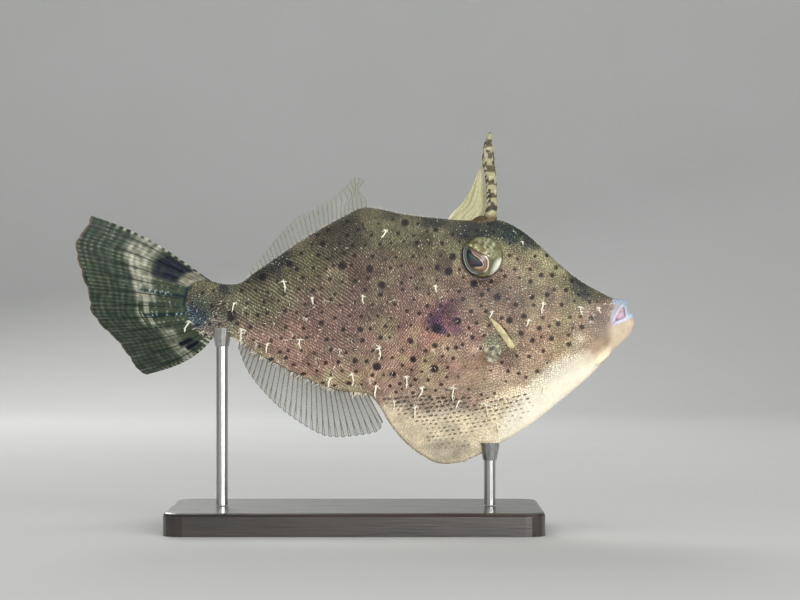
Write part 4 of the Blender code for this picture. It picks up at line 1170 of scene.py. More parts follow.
def scale_piece(name, roots, normals, size, side, material, draw):
    """One joined mesh of scales with their colours and their bake map."""
    count, sides = len(roots), 6
    lean = scale_lean(roots[:, 0], roots[:, 2]) + draw.normal(0, 0.12, count)
    down = at(-np.sin(lean), 0, -np.cos(lean))
    down = unit(down - normals * np.sum(normals * down, axis=1, keepdims=True))
    across = np.cross(normals, down)
    turn = circle(sides)
    places = [at(reach * np.cos(turn) + shift, reach * 0.52 * np.sin(turn), lift)
              for reach, lift, shift in ((0.66, -0.06, 0), (0.50, 0.05, 0.02), (0.33, 0.13, 0.05))]
    places = np.vstack(places + [np.array([[0.10, 0, 0.17]])])
    each = len(places)
    head = head_share(roots[:, 0])
    stretch = at(1 - 0.30 * head, 1 + 0.28 * head, 1)
    local = places[None] * (size * draw.uniform(0.88, 1.12, count))[:, None, None] * stretch[:, None]
    points = (roots[:, None] + down[:, None] * local[..., 0:1] + across[:, None] * local[..., 1:2]
              + normals[:, None] * local[..., 2:3])
    i, j = np.arange(sides), (np.arange(sides) + 1) % sides
    one = [np.stack([i, j, j + sides], -1), np.stack([i, j + sides, i + sides], -1)]
    one += [ring + sides for ring in one] + [np.stack([i, j, np.full(sides, sides)], -1) + 2 * sides]
    faces = (np.concatenate(one)[None] + np.arange(count)[:, None, None] * each).reshape(-1, 3)
    tone = skin_tone(roots) * draw.uniform(0.84, 1.16, (count, 1))
    bright = draw.random((count, 1))
    pale = tone + (glint(tone) - tone) * (0.22 + 0.68 * bright ** 1.2)
    # A few scales, more of them in clusters, get near-white tips: painted highlights.
    highlight_cutoff = 0.985 - 0.07 * rise(noise(roots, 3, 23), 0.6, 0.1)[:, None]
    pale += np.maximum(srgb(248, 242, 226) - pale, 0) * 0.5 * (bright > highlight_cutoff)
    x, z = roots[:, 0], roots[:, 2]
    over_flap = ease((belly_line(x) + 14 - z) / 14) * ease(x / 20)
    pale = tone + (pale - tone) * (1 - np.maximum(plate_share(x, z), 0.35 * over_flap))[:, None]
    smooth = np.maximum(smooth_share(x, z), plate_share(x, z))[:, None]
    ground = tone * (GROUND + (1 - GROUND) * smooth)
    tint = np.stack([ground] * sides + [tone * 0.5 + ground * 0.5] * sides
                    + [tone + (pale - tone) * 0.8] * sides + [pale], axis=1)
    points = points.reshape(-1, 3)
    piece = add_object(name, points, faces, material, "skin",
                       tint=tint.reshape(-1, 3), spot=spot_value(points))
    bake_map(piece, roots, side, places[:, :2] / np.abs(places[:, :2]).max())


def bake_map(piece, roots, side, patch):
    """The map that the colours are baked on: a small patch at each root."""
    centre = unwrap(roots[:, 0], roots[:, 2], side)
    places = (centre[:, None] + (patch * BAKE_PATCH)[None]).reshape(-1, 2)
    layer = piece.data.uv_layers.new(name="OFBake")
    corners = np.empty(len(piece.data.loops), np.int32)
    piece.data.loops.foreach_get("vertex_index", corners)
    layer.data.foreach_set("uv", places[corners].astype(np.float32).ravel())


def thread_piece(name, look, paths, widths, roots, sides, colour, share):
    """One joined mesh of flattened threads, each in the colour of its root made paler."""
    points, faces = tubes(paths, widths, THREAD_SIDES, 0.6)
    tone = blend(skin_tone(roots), colour, share)
    length = len(widths[0])
    material = painted_material(look, 0.5, 0.4, 0.05)
    piece = add_object(name, points, faces, material, "skin",
                       tint=np.repeat(tone, length * THREAD_SIDES, axis=0))
    patch = np.meshgrid(np.linspace(-1, 1, THREAD_SIDES), np.linspace(-1, 1, length))
    bake_map(piece, roots, sides, np.stack(patch, -1).reshape(-1, 2))


def thread(root, way, reach, sunk, bend, t):
    """The path of a bent thread that starts below the skin."""
    return root + way * (reach + sunk) * t + bend * reach * t ** 2


def tassel_paths(root, normal, length, draw):
    """A wavy stem that hangs from the skin, with a crown of twigs near its root."""
    t = spread(THREAD_POINTS)[:, None]
    hang = unit(np.array([draw.normal(0, 0.4), 0, -1]))
    wave = np.sin(2 * np.pi * t + draw.uniform(0, 6)) * draw.uniform(0.03, 0.07) * length
    lift = normal * (0.5 + 0.26 * length) * np.sin(1.8 * t)
    stem = root - normal * 0.3 + lift + hang * length * t ** 1.1 + np.array([1, 0, 0]) * wave
    swell = 0.11 + 0.13 * np.sin(np.pi * np.linspace(0.25, 1, THREAD_POINTS))
    paths, widths = [stem], [draw.uniform(0.8, 1.5) * swell]
    crown = 8 + int(length > 3.8)
    for k in range(crown + 3):
        high = k < crown
        start = along(stem, [draw.uniform(0.10, 0.24) if high else draw.uniform(0.4, 0.85)])[0]
        angle = math.pi * ((k + draw.uniform(0.1, 0.9)) / crown if high else draw.uniform(-0.35, 1.35))
        way = unit(np.array([math.cos(angle), 0, 0.75 * math.sin(angle)]) + normal * draw.uniform(0.1, 0.7))
        reach = length * (draw.uniform(0.18, 0.40) if high else draw.uniform(0.08, 0.20))
        bend = np.array([draw.uniform(-0.3, 0.3), 0, -0.45])
        paths.append(thread(start, way, reach, 0, bend, t))
        widths.append(np.linspace(0.19, 0.06, THREAD_POINTS))
    return paths, widths


def fleck_paths(root, normal, length, draw):
    """A few short bent threads of skin in any direction."""
    t = spread(THREAD_POINTS)[:, None]
    paths, widths = [], []
    for _ in range(draw.integers(1, 4)):
        angle = draw.uniform(0, 2 * math.pi)
        way = unit(np.array([math.cos(angle), 0, math.sin(angle)]) + normal * draw.uniform(0.1, 0.8))
        bend = np.array([draw.uniform(-0.6, 0.6), 0, draw.uniform(-0.9, 0.2)])
        reach = length * draw.uniform(0.6, 1)
        paths.append(thread(root - normal * 0.2, way, reach, 0.2, bend, t))
        widths.append(np.linspace(0.21, 0.07, THREAD_POINTS) * draw.uniform(0.8, 1.3))
    return paths, widths


def build_tassels(tree):
    """Pale branched tassels, and many small flecks of skin between them."""
    draw = np.random.default_rng(9)
    paths, widths, roots, sides, share = [], [], [], [], []
    for side in (-1, 1):
        wanted = [(x, z, length, True) for x, z, length in TASSELS]
        for _ in range(FLECKS):
            x = draw.uniform(-58, 84)
            down = draw.uniform(0.12, 0.97) ** 0.6
            z = back_line(x) + (keel_line(x) - back_line(x)) * down
            if (x > 8 and z < belly_line(x) - 5) or smooth_share(x, z) > 0.5:
                continue
            wanted.append((x, z, draw.uniform(0.35, 1.1) + 0.9 * draw.random() ** 3, False))
        for x, z, length, branched in wanted:
            shift = draw.uniform(-1.5, 1.5, 2) if side > 0 else np.zeros(2)
            place = skin_point(x + shift[0], z + shift[1], side)
            hit, normal, _, distance = tree.find_nearest(Vector(place))
            if distance > 0.6:
                continue
            make = tassel_paths if branched else fleck_paths
            some_paths, some_widths = make(np.array(hit), np.array(normal), length, draw)
            paths += some_paths
            widths += some_widths
            roots += [hit[:]] * len(some_paths)
            sides += [side] * len(some_paths)
            share += [0.97 if branched else draw.uniform(0.4, 0.9)] * len(some_paths)
    thread_piece("skin_tassels", "tassel_skin", paths, widths, np.array(roots), np.array(sides),
                 srgb(250, 246, 224), np.array(share))


def build_edge_frill():
    """Short pale fringes along the back's edge and the underside in front of the fins."""
    draw = np.random.default_rng(15)
    paths, widths = [], []
    t = spread(6)[:, None]
    edges = ((back_line, 1, -39, 30, 90, 0.5), (keel_line, -1, -41, 4, 110, 1.25),
             (back_line, 1, 52, 88, 36, 0.35), (keel_line, -1, 20, 40, 16, 0.45))
    for line, outward, start, end, count, length in edges:
        for x in draw.uniform(start, end, count):
            slope = float(line(x + 0.5) - line(x - 0.5))
            normal = unit(np.array([-slope, 0, 1])) * outward
            tangent = unit(np.array([1, 0, slope]))
            side = draw.choice([-1, 1])
            root = np.array([x, side * draw.uniform(0.2, 0.7), float(line(x))]) - normal * 0.35
            reach = length * draw.uniform(0.5, 1.35) * (2 if draw.random() < 0.08 else 1)
            way = unit(normal + tangent * draw.uniform(-0.8, 0.5) + np.array([0, side * 0.35, 0]))
            bend = tangent * draw.uniform(-0.5, 0.2)
            paths.append(thread(root, way, reach, 0.4, bend, t))
            widths.append(np.linspace(0.22, 0.06, 6) * (0.8 + 0.4 * draw.random()))
    roots = np.array([path[0] for path in paths])
    thread_piece("skin_frill", "frill_skin", paths, widths, roots, roots[:, 1],
                 srgb(238, 226, 206), np.full(len(roots), 0.7))


# Fins

def fin_grid(root, margin, columns, rows):
    """Middle places of a fin from its root to its margin, with shares across and out."""
    u, v = np.meshgrid(spread(columns), spread(rows))
    start, end = along(root, u[0]), along(margin, u[0])
    return start[None] + (end - start)[None] * v[..., None], u, v


def scalloped(grid, share):
    """A fin with its margin drawn in between the rays."""
    return grid[:1] + (grid - grid[:1]) * (1 - share)[..., None]


def build_soft_fin(name, root, margin, sway, gather, ray_tone, ray_half, web_tone, web_alpha):
    """A low waving fan: branched rays, and the clear membrane that joins them."""
    last = SOFT_RAYS - 1
    grid, u, v = fin_grid(root, margin, last * 6 + 1, 28)
    grid[..., 1] += sway(u, v)
    grid[..., 0] -= gather(grid[..., 0], v)
    off = np.abs(u * last - np.round(u * last))
    grid = scalloped(grid, 0.03 * rise(off, 0.15, 0.35) * rise(v, 0.9, 0.1))
    tone = web_tone * (0.85 + 0.3 * noise(grid.reshape(-1, 3), 2.5, 31))[:, None]
    alpha = web_alpha * (0.8 + 0.5 * (1 - v)) + 0.12 * rise(v, 0.97, 0.03)
    add_object(name + "_web", *sheet(grid, np.full(u.shape, 0.08)), clear_material(name + "_film", 0.5),
               "clear_fin", tint=np.vstack([tone, tone]), alpha=np.tile(np.clip(alpha, 0, 1).ravel(), 2))

    out = spread(30)
    joints = np.sin(out * 70)
    paths, radii, tones = [], [], []
    for ray in range(SOFT_RAYS):
        for fork in (-1, 1):
            across = np.clip(ray / last + 0.16 / last * fork * rise(out, 0.55, 0.45), 0, 1)
            start, end = along(root, across), along(margin, across)
            path = start + (end - start) * (out * 0.985)[:, None]
            path[:, 1] += sway(across, out * 0.985) + 0.06 * fork
            path[:, 0] -= gather(path[:, 0], out)
            paths.append(path)
            radii.append(ray_half * (1 - 0.62 * out) * (1 + 0.10 * joints))
            tones.append(np.outer(1 - 0.22 * (joints > 0.3), ray_tone))
    sides = 7
    add_object(name + "_rays", *tubes(paths, radii, sides),
               painted_material(name + "_ray", 0.42, 0.5, 0.05, 0.5),
               "clear_fin", (name + "_fin",), tint=np.repeat(np.vstack(tones), sides, axis=0))


def build_soft_fins():
    def gather(x, v):
        """The first rays of the back fin draw together below their tips."""
        return 0.7 * x * np.exp(-((v - 0.66) / 0.22) ** 2) * rise(x, -7, 6)

    build_soft_fin("second_dorsal", root_on(back_line, 1, DORSAL_ROOT_FRONT, DORSAL_ROOT_REAR),
                   catmull(flat(DORSAL_MARGIN)),
                   lambda u, v: 3.2 * v ** 1.3 * np.sin(1.1 + 9 * u) * (1 - 0.6 * u), gather,
                   srgb(150, 146, 118), 0.20, srgb(130, 140, 122), 0.10)
    build_soft_fin("anal", root_on(keel_line, -1, ANAL_ROOT_FRONT, ANAL_ROOT_REAR),
                   catmull(flat(ANAL_MARGIN)),
                   lambda u, v: 1.6 * v ** 1.3 * np.sin(0.4 + 7 * u), lambda x, v: 0 * x,
                   srgb(136, 112, 84), 0.26, srgb(86, 104, 94), 0.26)


def tail_colours(u, v, grid):
    """Colour and opacity of the tail fin from its place across and its run outwards."""
    place = u * (TAIL_RAYS - 1)
    off = np.abs(place - np.round(place))
    rough, slow, wide, bent = (noise(grid.reshape(-1, 3), size, seed).reshape(u.shape)
                               for size, seed in ((1.6, 41), (7, 42), (5, 43), (3.5, 44)))
    vv = v + 0.08 * (slow - 0.5)
    tone = np.broadcast_to(srgb(70, 78, 62), u.shape + (3,)).copy()

    def lay(colour, share):
        tone[...] = tone + (colour - tone) * np.clip(share, 0, 1)[..., None]

    def span(value, start, end, soft):
        return ease((value - start) / soft + 0.5) * ease((end - value) / soft + 0.5)

    def line(centre, half):
        return np.exp(-((u - centre) / half) ** 2)

    twigs = 0.5 + 0.5 * np.cos(2 * np.pi * place * np.where(v < 0.5, 2, 4))
    patchy = 0.65 + 0.35 * rise(rough, 0.30, 0.25)
    rows = np.sin(v * 118 + 3 * slow + 0.9 * np.round(2 * place))
    cells = 0.6 + 0.4 * rise(rows, -0.5, 0.9)
    columns = np.sin(v * 96 + 7 * (slow - 0.5) + 4 * (bent - 0.5))
    lay(srgb(50, 66, 54), 0.9 * rise(vv, 0.40, 0.25))
    lay(srgb(128, 114, 94), 0.55 * rise(twigs, 0.6, 0.35) * rise(v, 0.10, 0.2) * (0.2 + 1.2 * bent)
        * (0.7 + 0.3 * columns))
    lay(srgb(112, 112, 94), 0.28 * rise(columns, 0.1, 0.6) * rise(v, 0.30, 0.2) * (0.3 + rough))
    lay(srgb(26, 46, 42), 0.32 * ease((-columns - 0.2) / 0.6) * rise(v, 0.30, 0.2) * (1.3 - rough)
        * (1 - 0.6 * twigs))
    upper, lower = fall(u, 0.50, 0.10), rise(u, 0.68, 0.06)
    shift = 0.10 * fall(u, 0.28, 0.2)
    lay(srgb(214, 200, 180), 0.92 * span(vv - shift, 0.33, 0.55, 0.07) * upper * patchy * cells
        * (0.62 + 0.38 * twigs))
    bars = rise(np.sin(v * 60 + 0.5), -0.15, 0.4)
    lay(srgb(206, 196, 172), 0.9 * span(vv, 0.38, 0.53, 0.05) * span(u, 0.40, 0.66, 0.05) * bars
        * (0.4 + 0.6 * twigs))
    lay(srgb(200, 190, 170), 0.85 * span(vv, 0.28, 0.44, 0.06) * lower * patchy * cells * (0.6 + 0.4 * twigs)
        * (1 - 0.75 * span(u, 0.80, 0.835, 0.02)))
    dots = rise(rows, 0.25, 0.5) * rise(twigs, 0.45, 0.4) * rise(wide, 0.42, 0.16)
    lay(srgb(156, 150, 132), 0.7 * dots * rise(vv, 0.58, 0.1) * (0.25 + 0.75 * fall(u, 0.45, 0.1)))
    for centre, strength in ((0.378, 1), (0.470, 0.3), (0.572, 1)):
        reach = span(vv, 0.02, 0.50, 0.06)
        lay(srgb(18, 44, 52), 0.9 * strength * line(centre, 0.022) * reach)
        glow = rise(np.sin(v * 124 + 60 * centre), 0.45, 0.4) * rise(rough, 0.36, 0.2)
        lay(srgb(178, 192, 190), strength * line(centre, 0.012) * glow * reach)
    lay(srgb(190, 172, 154), 0.85 * span(u, 0.02, 0.24, 0.05) * span(vv, 0.03, 0.15, 0.05) * patchy)
    lay(srgb(6, 18, 42), 0.98 * span(u, 0.03, 0.25, 0.04) * span(vv, 0.16, 0.37, 0.07) * patchy)
    middle = span(u, 0.26, 0.70, 0.05) * span(vv, 0.09, 0.50, 0.06)
    lay(srgb(172, 164, 140), 0.7 * middle * rise(rows, 0.3, 0.4) * rise(twigs, 0.45, 0.35)
        * rise(rough, 0.42, 0.12))
    for centre, half, start, end in ((0.052, 0.020, 0.16, 0.38), (0.104, 0.020, 0.19, 0.40),
                                     (0.862, 0.020, 0.17, 0.35), (0.916, 0.018, 0.14, 0.31)):
        streak = np.minimum(1.5 * line(centre, half), 1) * span(v, start, end, 0.03)
        lay(srgb(8, 10, 34), streak)
    lay(srgb(24, 38, 54), 0.9 * span(u, 0.24, 0.76, 0.08) * fall(vv, 0.06, 0.03))
    lay(srgb(206, 196, 182), 0.85 * rise(u, 0.91, 0.03) * fall(v, 0.16, 0.05) * rise(rows, -0.2, 0.5))
    dash = np.sin(v * 112 + np.where(u < 0.5, 0, 1.4) + 0.8 * slow)
    edge = fall(np.minimum(u, 1 - u), 0.026, 0.016) * rise(v, 0.06, 0.06) * fall(v, 0.92, 0.2)
    lay(srgb(196, 184, 162), 0.85 * edge * rise(dash, 0.1, 0.4) * patchy)
    lay(srgb(28, 34, 40), 0.75 * edge * ease((-dash - 0.1) / 0.4))
    lay(srgb(16, 26, 22), 0.95 * rise(off, 0.425, 0.05) * rise(v, 0.04, 0.08) * fall(v, 0.90, 0.3))
    lay(srgb(140, 106, 88), 0.8 * rise(v, 0.982, 0.010))
    tone = tone * (0.62 + 0.46 * rough)[..., None] * np.array([0.86, 0.98, 0.96])
    alpha = 1 - 0.25 * rise(v, 0.5, 0.4) * rise(off, 0.40, 0.06) - 0.08 * rise(v, 0.7, 0.3)
    return tone, alpha


def build_tail_fin():
    """Rounded tail fin, its edges bowed, its lower lobe sweeping to the fish's left."""
    columns = (TAIL_RAYS - 1) * 22 + 1
    root = catmull(flat(TAIL_ROOT))
    root = root * np.array([1, 1, 0.87]) + np.array([TAIL_SUNK + 0.6, 0, -0.45])
    grid, u, v = fin_grid(root, catmull(flat(TAIL_MARGIN)), columns, 170)
    off = u * (TAIL_RAYS - 1) - np.round(u * (TAIL_RAYS - 1))
    grid = scalloped(grid, 0.010 * rise(np.abs(off), 0.2, 0.3) * rise(v, 0.92, 0.08))
    far = TAIL_SWEEP_TOP + (TAIL_SWEEP_BOTTOM - TAIL_SWEEP_TOP) * rise(u, 0.1, 1)
    top = TAIL_BOW_TOP * (1 - u) ** 3 * np.sin(np.pi * v ** 1.2)
    bottom = TAIL_BOW_BOTTOM * u ** 3 * np.sin(np.pi * v ** 0.8)
    grid += np.stack([0.47 * (top + bottom), far * v ** 1.6, 0.88 * (top - bottom)], -1)
    stem = np.exp(-(off / 0.17) ** 2) * fall(v, 0.5, 0.35)
    forks = np.exp(-((np.abs(off) - 0.15) / 0.09) ** 2) * rise(v, 0.15, 0.3)
    fine = np.exp(-((np.abs(np.abs(off) - 0.15) - 0.075) / 0.04) ** 2) * rise(v, 0.6, 0.2)
    ridge = np.maximum(np.maximum(stem, forks * (1 - 0.5 * rise(v, 0.6, 0.2))), 0.8 * fine)
    joints = 1 + 0.12 * np.sin(v * 156)
    halves = (0.13 + 0.24 * ridge * joints) * (1 - 0.5 * v) + 0.03
    tone, alpha = tail_colours(u, v, grid)
    add_object("tail_fin", *sheet(grid, halves), clear_material("tail_fin_skin", 0.2, 0.5),
               "tail_fin", ("caudal_fin",), tint=np.vstack([tone.reshape(-1, 3)] * 2),
               alpha=np.tile(alpha.ravel(), 2))


def build_pectoral(side, word):
    """A small clear fan behind the gill opening, on its fleshy root."""
    out = spread(20)

    def place(share, v):
        angle = PECTORAL_FROM + (PECTORAL_TO - PECTORAL_FROM) * share
        reach = 2 + (PECTORAL_LENGTH * (0.82 + 0.18 * np.sin(np.pi * share)) - 2) * v
        x, z = PECTORAL_ALONG + reach * np.cos(angle), PECTORAL_UP + reach * np.sin(angle)
        return skin_point(x, z, side, 0.5 + 4 * v ** 1.3)

    u, v = np.meshgrid(spread(61), out)
    add_object("pectoral_%s_web" % word, *sheet(place(u, v), np.full(u.shape, 0.07)),
               clear_material("pectoral_film", 0.3), "clear_fin",
               tint=srgb(188, 166, 142), alpha=np.tile((0.07 + 0.06 * (1 - v)).ravel(), 2))
    sides, paths = 6, []
    for ray in range(PECTORAL_RAYS):
        for fork in (-1, 1):
            share = ray / (PECTORAL_RAYS - 1) + 0.016 * fork * rise(out, 0.4, 0.6)
            paths.append(place(np.clip(share, 0, 1), out * 0.985))
    rays = tubes(paths, [0.13 - 0.08 * out] * len(paths), sides, spare=(0.1, 1, 0.2))
    add_object("pectoral_%s_rays" % word, *rays, clear_material("pectoral_ray", 0.35, 0.45),
               "clear_fin", ("pectoral_fin_" + word,), tint=srgb(196, 160, 122),
               alpha=np.tile(np.repeat(0.75 - 0.35 * out, sides), len(paths)))

    lump, faces = globe(skin_point(PECTORAL_ALONG, PECTORAL_UP + 0.4, side, -0.22), (3.4, 0.4, 4.4), 110, 72)
    lump[:, 1] += side * (0.35 * noise(lump, 0.8, 52) + 0.5 * noise(lump, 1.7, 53) - 0.45)
    blots, wide = noise(lump, 0.7, 51), noise(lump, 1.9, 54)
    tone = blend(skin_tone(lump), srgb(126, 126, 106), np.full(len(lump), 0.4))
    tone = coats(tone * (0.36 + 0.80 * noise(lump, 0.45, 55))[:, None],
                 (srgb(202, 192, 160), 0.7 * rise(blots, 0.64, 0.07)),
                 (srgb(50, 48, 44), 0.75 * fall(wide, 0.44, 0.12)))
    add_object("pectoral_%s_root" % word, lump, faces,
               painted_material("pectoral_root", 0.5, 0.5, 0.08), "clear_fin", tint=tone)


def build_spine():
    """First dorsal spine: banded, rough, with barbs behind and soft points."""
    rows = np.array(SPINE_LINE)
    z = np.linspace(rows[0, 1], rows[-1, 1], 120)
    x, long_half, cross_half = (smooth_line(rows[:, [1, k]])(z) for k in (0, 2, 3))
    sides = 40
    turn = circle(sides)
    ring = at(np.cos(turn) * long_half[:, None] + x[:, None], np.sin(turn) * cross_half[:, None], z[:, None])
    rough = noise(ring.reshape(-1, 3), 0.9, 61).reshape(ring.shape[:2]) - 0.5
    ring[..., 0] += rough * 0.30 * np.cos(turn)
    ring[..., 1] += rough * 0.24 * np.sin(turn)
    draw = np.random.default_rng(17)
    t = spread(6)[:, None]
    paths, widths = [], []

    def barb(height, angle, across, up, droop, size, width):
        k = np.argmin(np.abs(z - height))
        root = np.array([x[k] + long_half[k] * math.cos(angle), cross_half[k] * math.sin(angle), z[k]])
        away = unit(np.array([math.cos(angle), across, up]))
        paths.append(thread(root - away * 0.4, away, size, 0.4, np.array([0, 0, droop]), t))
        widths.append(np.linspace(width, 0.05, 6))

    for share in spread(13):
        for side in (-1, 1):
            barb(33.5 + 22.5 * share, side * math.radians(128), side * 1.1, -0.2, -0.75,
                 1.55 - 0.75 * share, 0.46)
            widths[-1] *= 1 - 0.3 * share
    for height in (30.6, 36.2, 40.4, 43.4, 45.8, 49.2, 53, 55.6):
        for angle in (draw.uniform(-0.5, 0.5), math.pi + draw.uniform(-0.4, 0.4)):
            if draw.random() < 0.3:
                continue
            place, up, size = draw.uniform(-0.6, 0.6), draw.uniform(0, 0.8), draw.uniform(0.9, 1.6)
            barb(height + place, angle, math.sin(angle), up, 0.3, size, 0.28)
    stem = ring.reshape(-1, 3), tube_faces(1, len(z), sides)
    points, faces = join([stem, tubes(paths, widths, 7, spare=(0.2, 0.3, 1))])
    height = points[:, 2]
    band = 0.5 + 0.5 * np.sin((height - 31) * 2 * np.pi / 4.6 + 1.6 * (noise(points, 2, 62) - 0.5))
    tone = coats(srgb(168, 162, 122),
                 (srgb(84, 78, 52), rise(band, 0.35, 0.4)),
                 (srgb(52, 50, 48), 0.9 * rise(noise(points, 1.3, 63), 0.62, 0.12)),
                 (srgb(206, 200, 170), 0.6 * rise(noise(points, 1, 64), 0.66, 0.1)),
                 (srgb(104, 80, 52), 0.85 * fall(height, 30.6, 2)),
                 (srgb(206, 196, 160), np.where(np.arange(len(points)) < len(z) * sides, 0, 0.55)))
    add_object("dorsal_spine", points, faces,
               painted_material("spine_skin", 0.6, 0.5, 0.12, 0.35),
               "spine", ("first_dorsal_spine",), tint=tone)


def build_web():
    """The folded membrane behind the first dorsal spine."""
    leading, trailing = catmull(flat(WEB_LEADING)), catmull(flat(WEB_TRAILING))
    u, v = np.meshgrid(spread(70), spread(70))
    front, rear = along(leading, v[:, 0]), along(trailing, v[:, 0])
    grid = front[:, None] + (rear - front)[:, None] * u[..., None]
    grid[..., 2] -= 1 * fall(v, 0.12, 0.12)
    creases = np.sin(23 * u + 5 * v + 2 * np.sin(5 * v))
    fold = np.sin(7 * u + 2 * v) * 0.45 + 0.16 * creases
    grid[..., 1] = fold * np.sin(np.pi * np.clip(v + 0.1, 0, 1)) * ease(u / 0.12)
    out = u.ravel()
    tone = coats(srgb(184, 180, 140),
                 (srgb(138, 134, 92), 0.55 * rise(creases, 0.55, 0.4).ravel()),
                 (srgb(116, 112, 80), 0.6 * fall(out, 0.2, 0.2)),
                 (srgb(234, 230, 206), 0.7 * rise(out, 0.93, 0.05)))
    add_object("spine_web", *sheet(grid, 0.26 + 0.06 * np.sin(31 * u + 7 * v)),
               painted_material("spine_web", 0.5, 0.45, 0.10),
               "membrane", ("spine_membrane",), tint=np.vstack([tone, tone]))


# Eyes, mouth and gill

PUPIL = [(-4.8, 3), (-3.85, 1.9), (-2.8, 0.6), (-1.7, -0.1), (-0.75, -1), (0.05, -2.1), (0.1, -2.9),
         (-0.5, -3.3), (-2, -3.35), (-3.4, -3.15), (-4.1, -2.35), (-4.8, -1.3), (-5.3, -0.1), (-5.5, 1.1),
         (-5.3, 2.3)]
LID_OPENING = [(-6, 3.9), (-4.1, 3.4), (-2.8, 2.3), (-1.2, 1.6), (0, 1), (1.4, 0.45), (2.2, -0.5),
               (2.45, -2.4), (2.2, -4), (1.4, -5.2), (0.2, -5.8), (-1.7, -6.15), (-3.6, -5.6),
               (-5.2, -4.2), (-6.3, -2.2), (-6.8, 0.3), (-6.65, 2.3)]
LID_SPOTS = [(-2.1, 5.1, 0.62), (0.05, 4.6, 0.6), (1.6, 3.5, 0.6), (2.4, 4.7, 0.4), (4.05, 2.9, 0.5),
             (0.1, 6.3, 0.4), (-3.4, 6.1, 0.5), (2.3, 1.2, 0.55), (3.6, 1.5, 0.35), (-4.3, 5.2, 0.4)]
LID_CREAM = [(-3.9, 4.2, 0.5), (-2.1, 3.3, 0.55), (0.8, 3.4, 0.4), (1.1, 1.5, 0.6), (-5.4, 4.9, 0.4),
             (-5.9, 4.8, 0.35), (-1.2, 2.5, 0.3), (2, 0.5, 0.35)]
# Sheen in the pupil: along, up, reach along, reach up, lean in degrees, tone, strength
PUPIL_SHEEN = [
    (-4.6, 1.9, 0.8, 1.1, 0, srgb(18, 34, 58), 0.95),
    (-3.9, 0.5, 1.15, 0.8, -35, srgb(64, 118, 106), 1),
    (-2.3, -0.85, 1.35, 0.55, -38, srgb(116, 144, 116), 0.95),
    (-4.1, -0.9, 0.8, 0.8, 0, srgb(106, 90, 90), 0.85),
    (-3.2, -2.05, 0.8, 0.65, 0, srgb(150, 84, 116), 0.9),
    (-1.2, -2.2, 0.95, 0.5, 0, srgb(94, 86, 150), 0.9),
    (-2, -2.85, 1.6, 0.28, 0, srgb(30, 12, 46), 0.9),
    (-3.6, -2.75, 0.5, 0.3, 0, srgb(124, 50, 72), 0.7),
]


def closed_smooth(points, steps=6):
    """A closed outline bent smoothly through its corners."""
    points = np.array(points)
    path = catmull(np.vstack([points[-2:], points, points[:3]]), steps)
    return [tuple(place) for place in path[2 * steps:(2 + len(points)) * steps]]


def lid_colours(x, z):
    """The spotted skin over an eye, seen from the side, with painted highlights on its upper front and along
    its front lower edge, and darker along its bottom edge.
    """
    places = at(x, 0, z)
    tone = coats(srgb(134, 132, 92),
                 # The pale grey-green oval at the upper front is a painted highlight.
                 (srgb(166, 176, 142), 0.9 * blot(x, z, (3.4, 5), (2.4, 2), -45)),
                 (srgb(122, 132, 100), 0.7 * blot(x, z, (5.4, 1.6), (1.4, 2.2))),
                 (srgb(150, 126, 92), 0.6 * blot(x, z, (-0.1, 2.7), (0.7, 0.5))))
    for spots, colour, strength, lowness, lean in ((LID_SPOTS, srgb(58, 64, 34), 0.92, 0.85, 0),
                                                   (LID_CREAM, srgb(222, 214, 170), 0.85, 0.7, -30)):
        for sx, sz, reach in spots:
            tone = blend(tone, colour, strength * blot(x, z, (sx, sz), (reach, reach * lowness), lean))
    grain = noise(places, 0.55, 73) - 0.5
    # Towards the front and below: darker olive, then a pale crescent along the edge that is a painted
    # highlight.
    ahead = rise(x, 1.8, 0.6) * fall(z, 0.4, 1.6)
    past = np.hypot(x, z) - (4.7 + 1.3 * ((np.degrees(np.arctan2(z, x)) + 28) / 34) ** 2)
    return coats(tone * (1 + 0.95 * grain * rise(z, -1.5, 2))[:, None],
                 (srgb(96, 78, 48), 0.6 * rise(noise(places, 0.8, 76), 0.60, 0.1) * rise(z, 0.5, 1.5)),
                 (srgb(92, 90, 62), 0.9 * ahead),
                 (srgb(196, 198, 178), ahead * rise(past, -0.7, 1.5)),
                 (srgb(246, 246, 228), ahead * rise(past, 0.3, 1.1)),
                 (srgb(120, 110, 80), 0.5 * ease((-z - 6) / 0.6) * fall(x, 2, 2)))


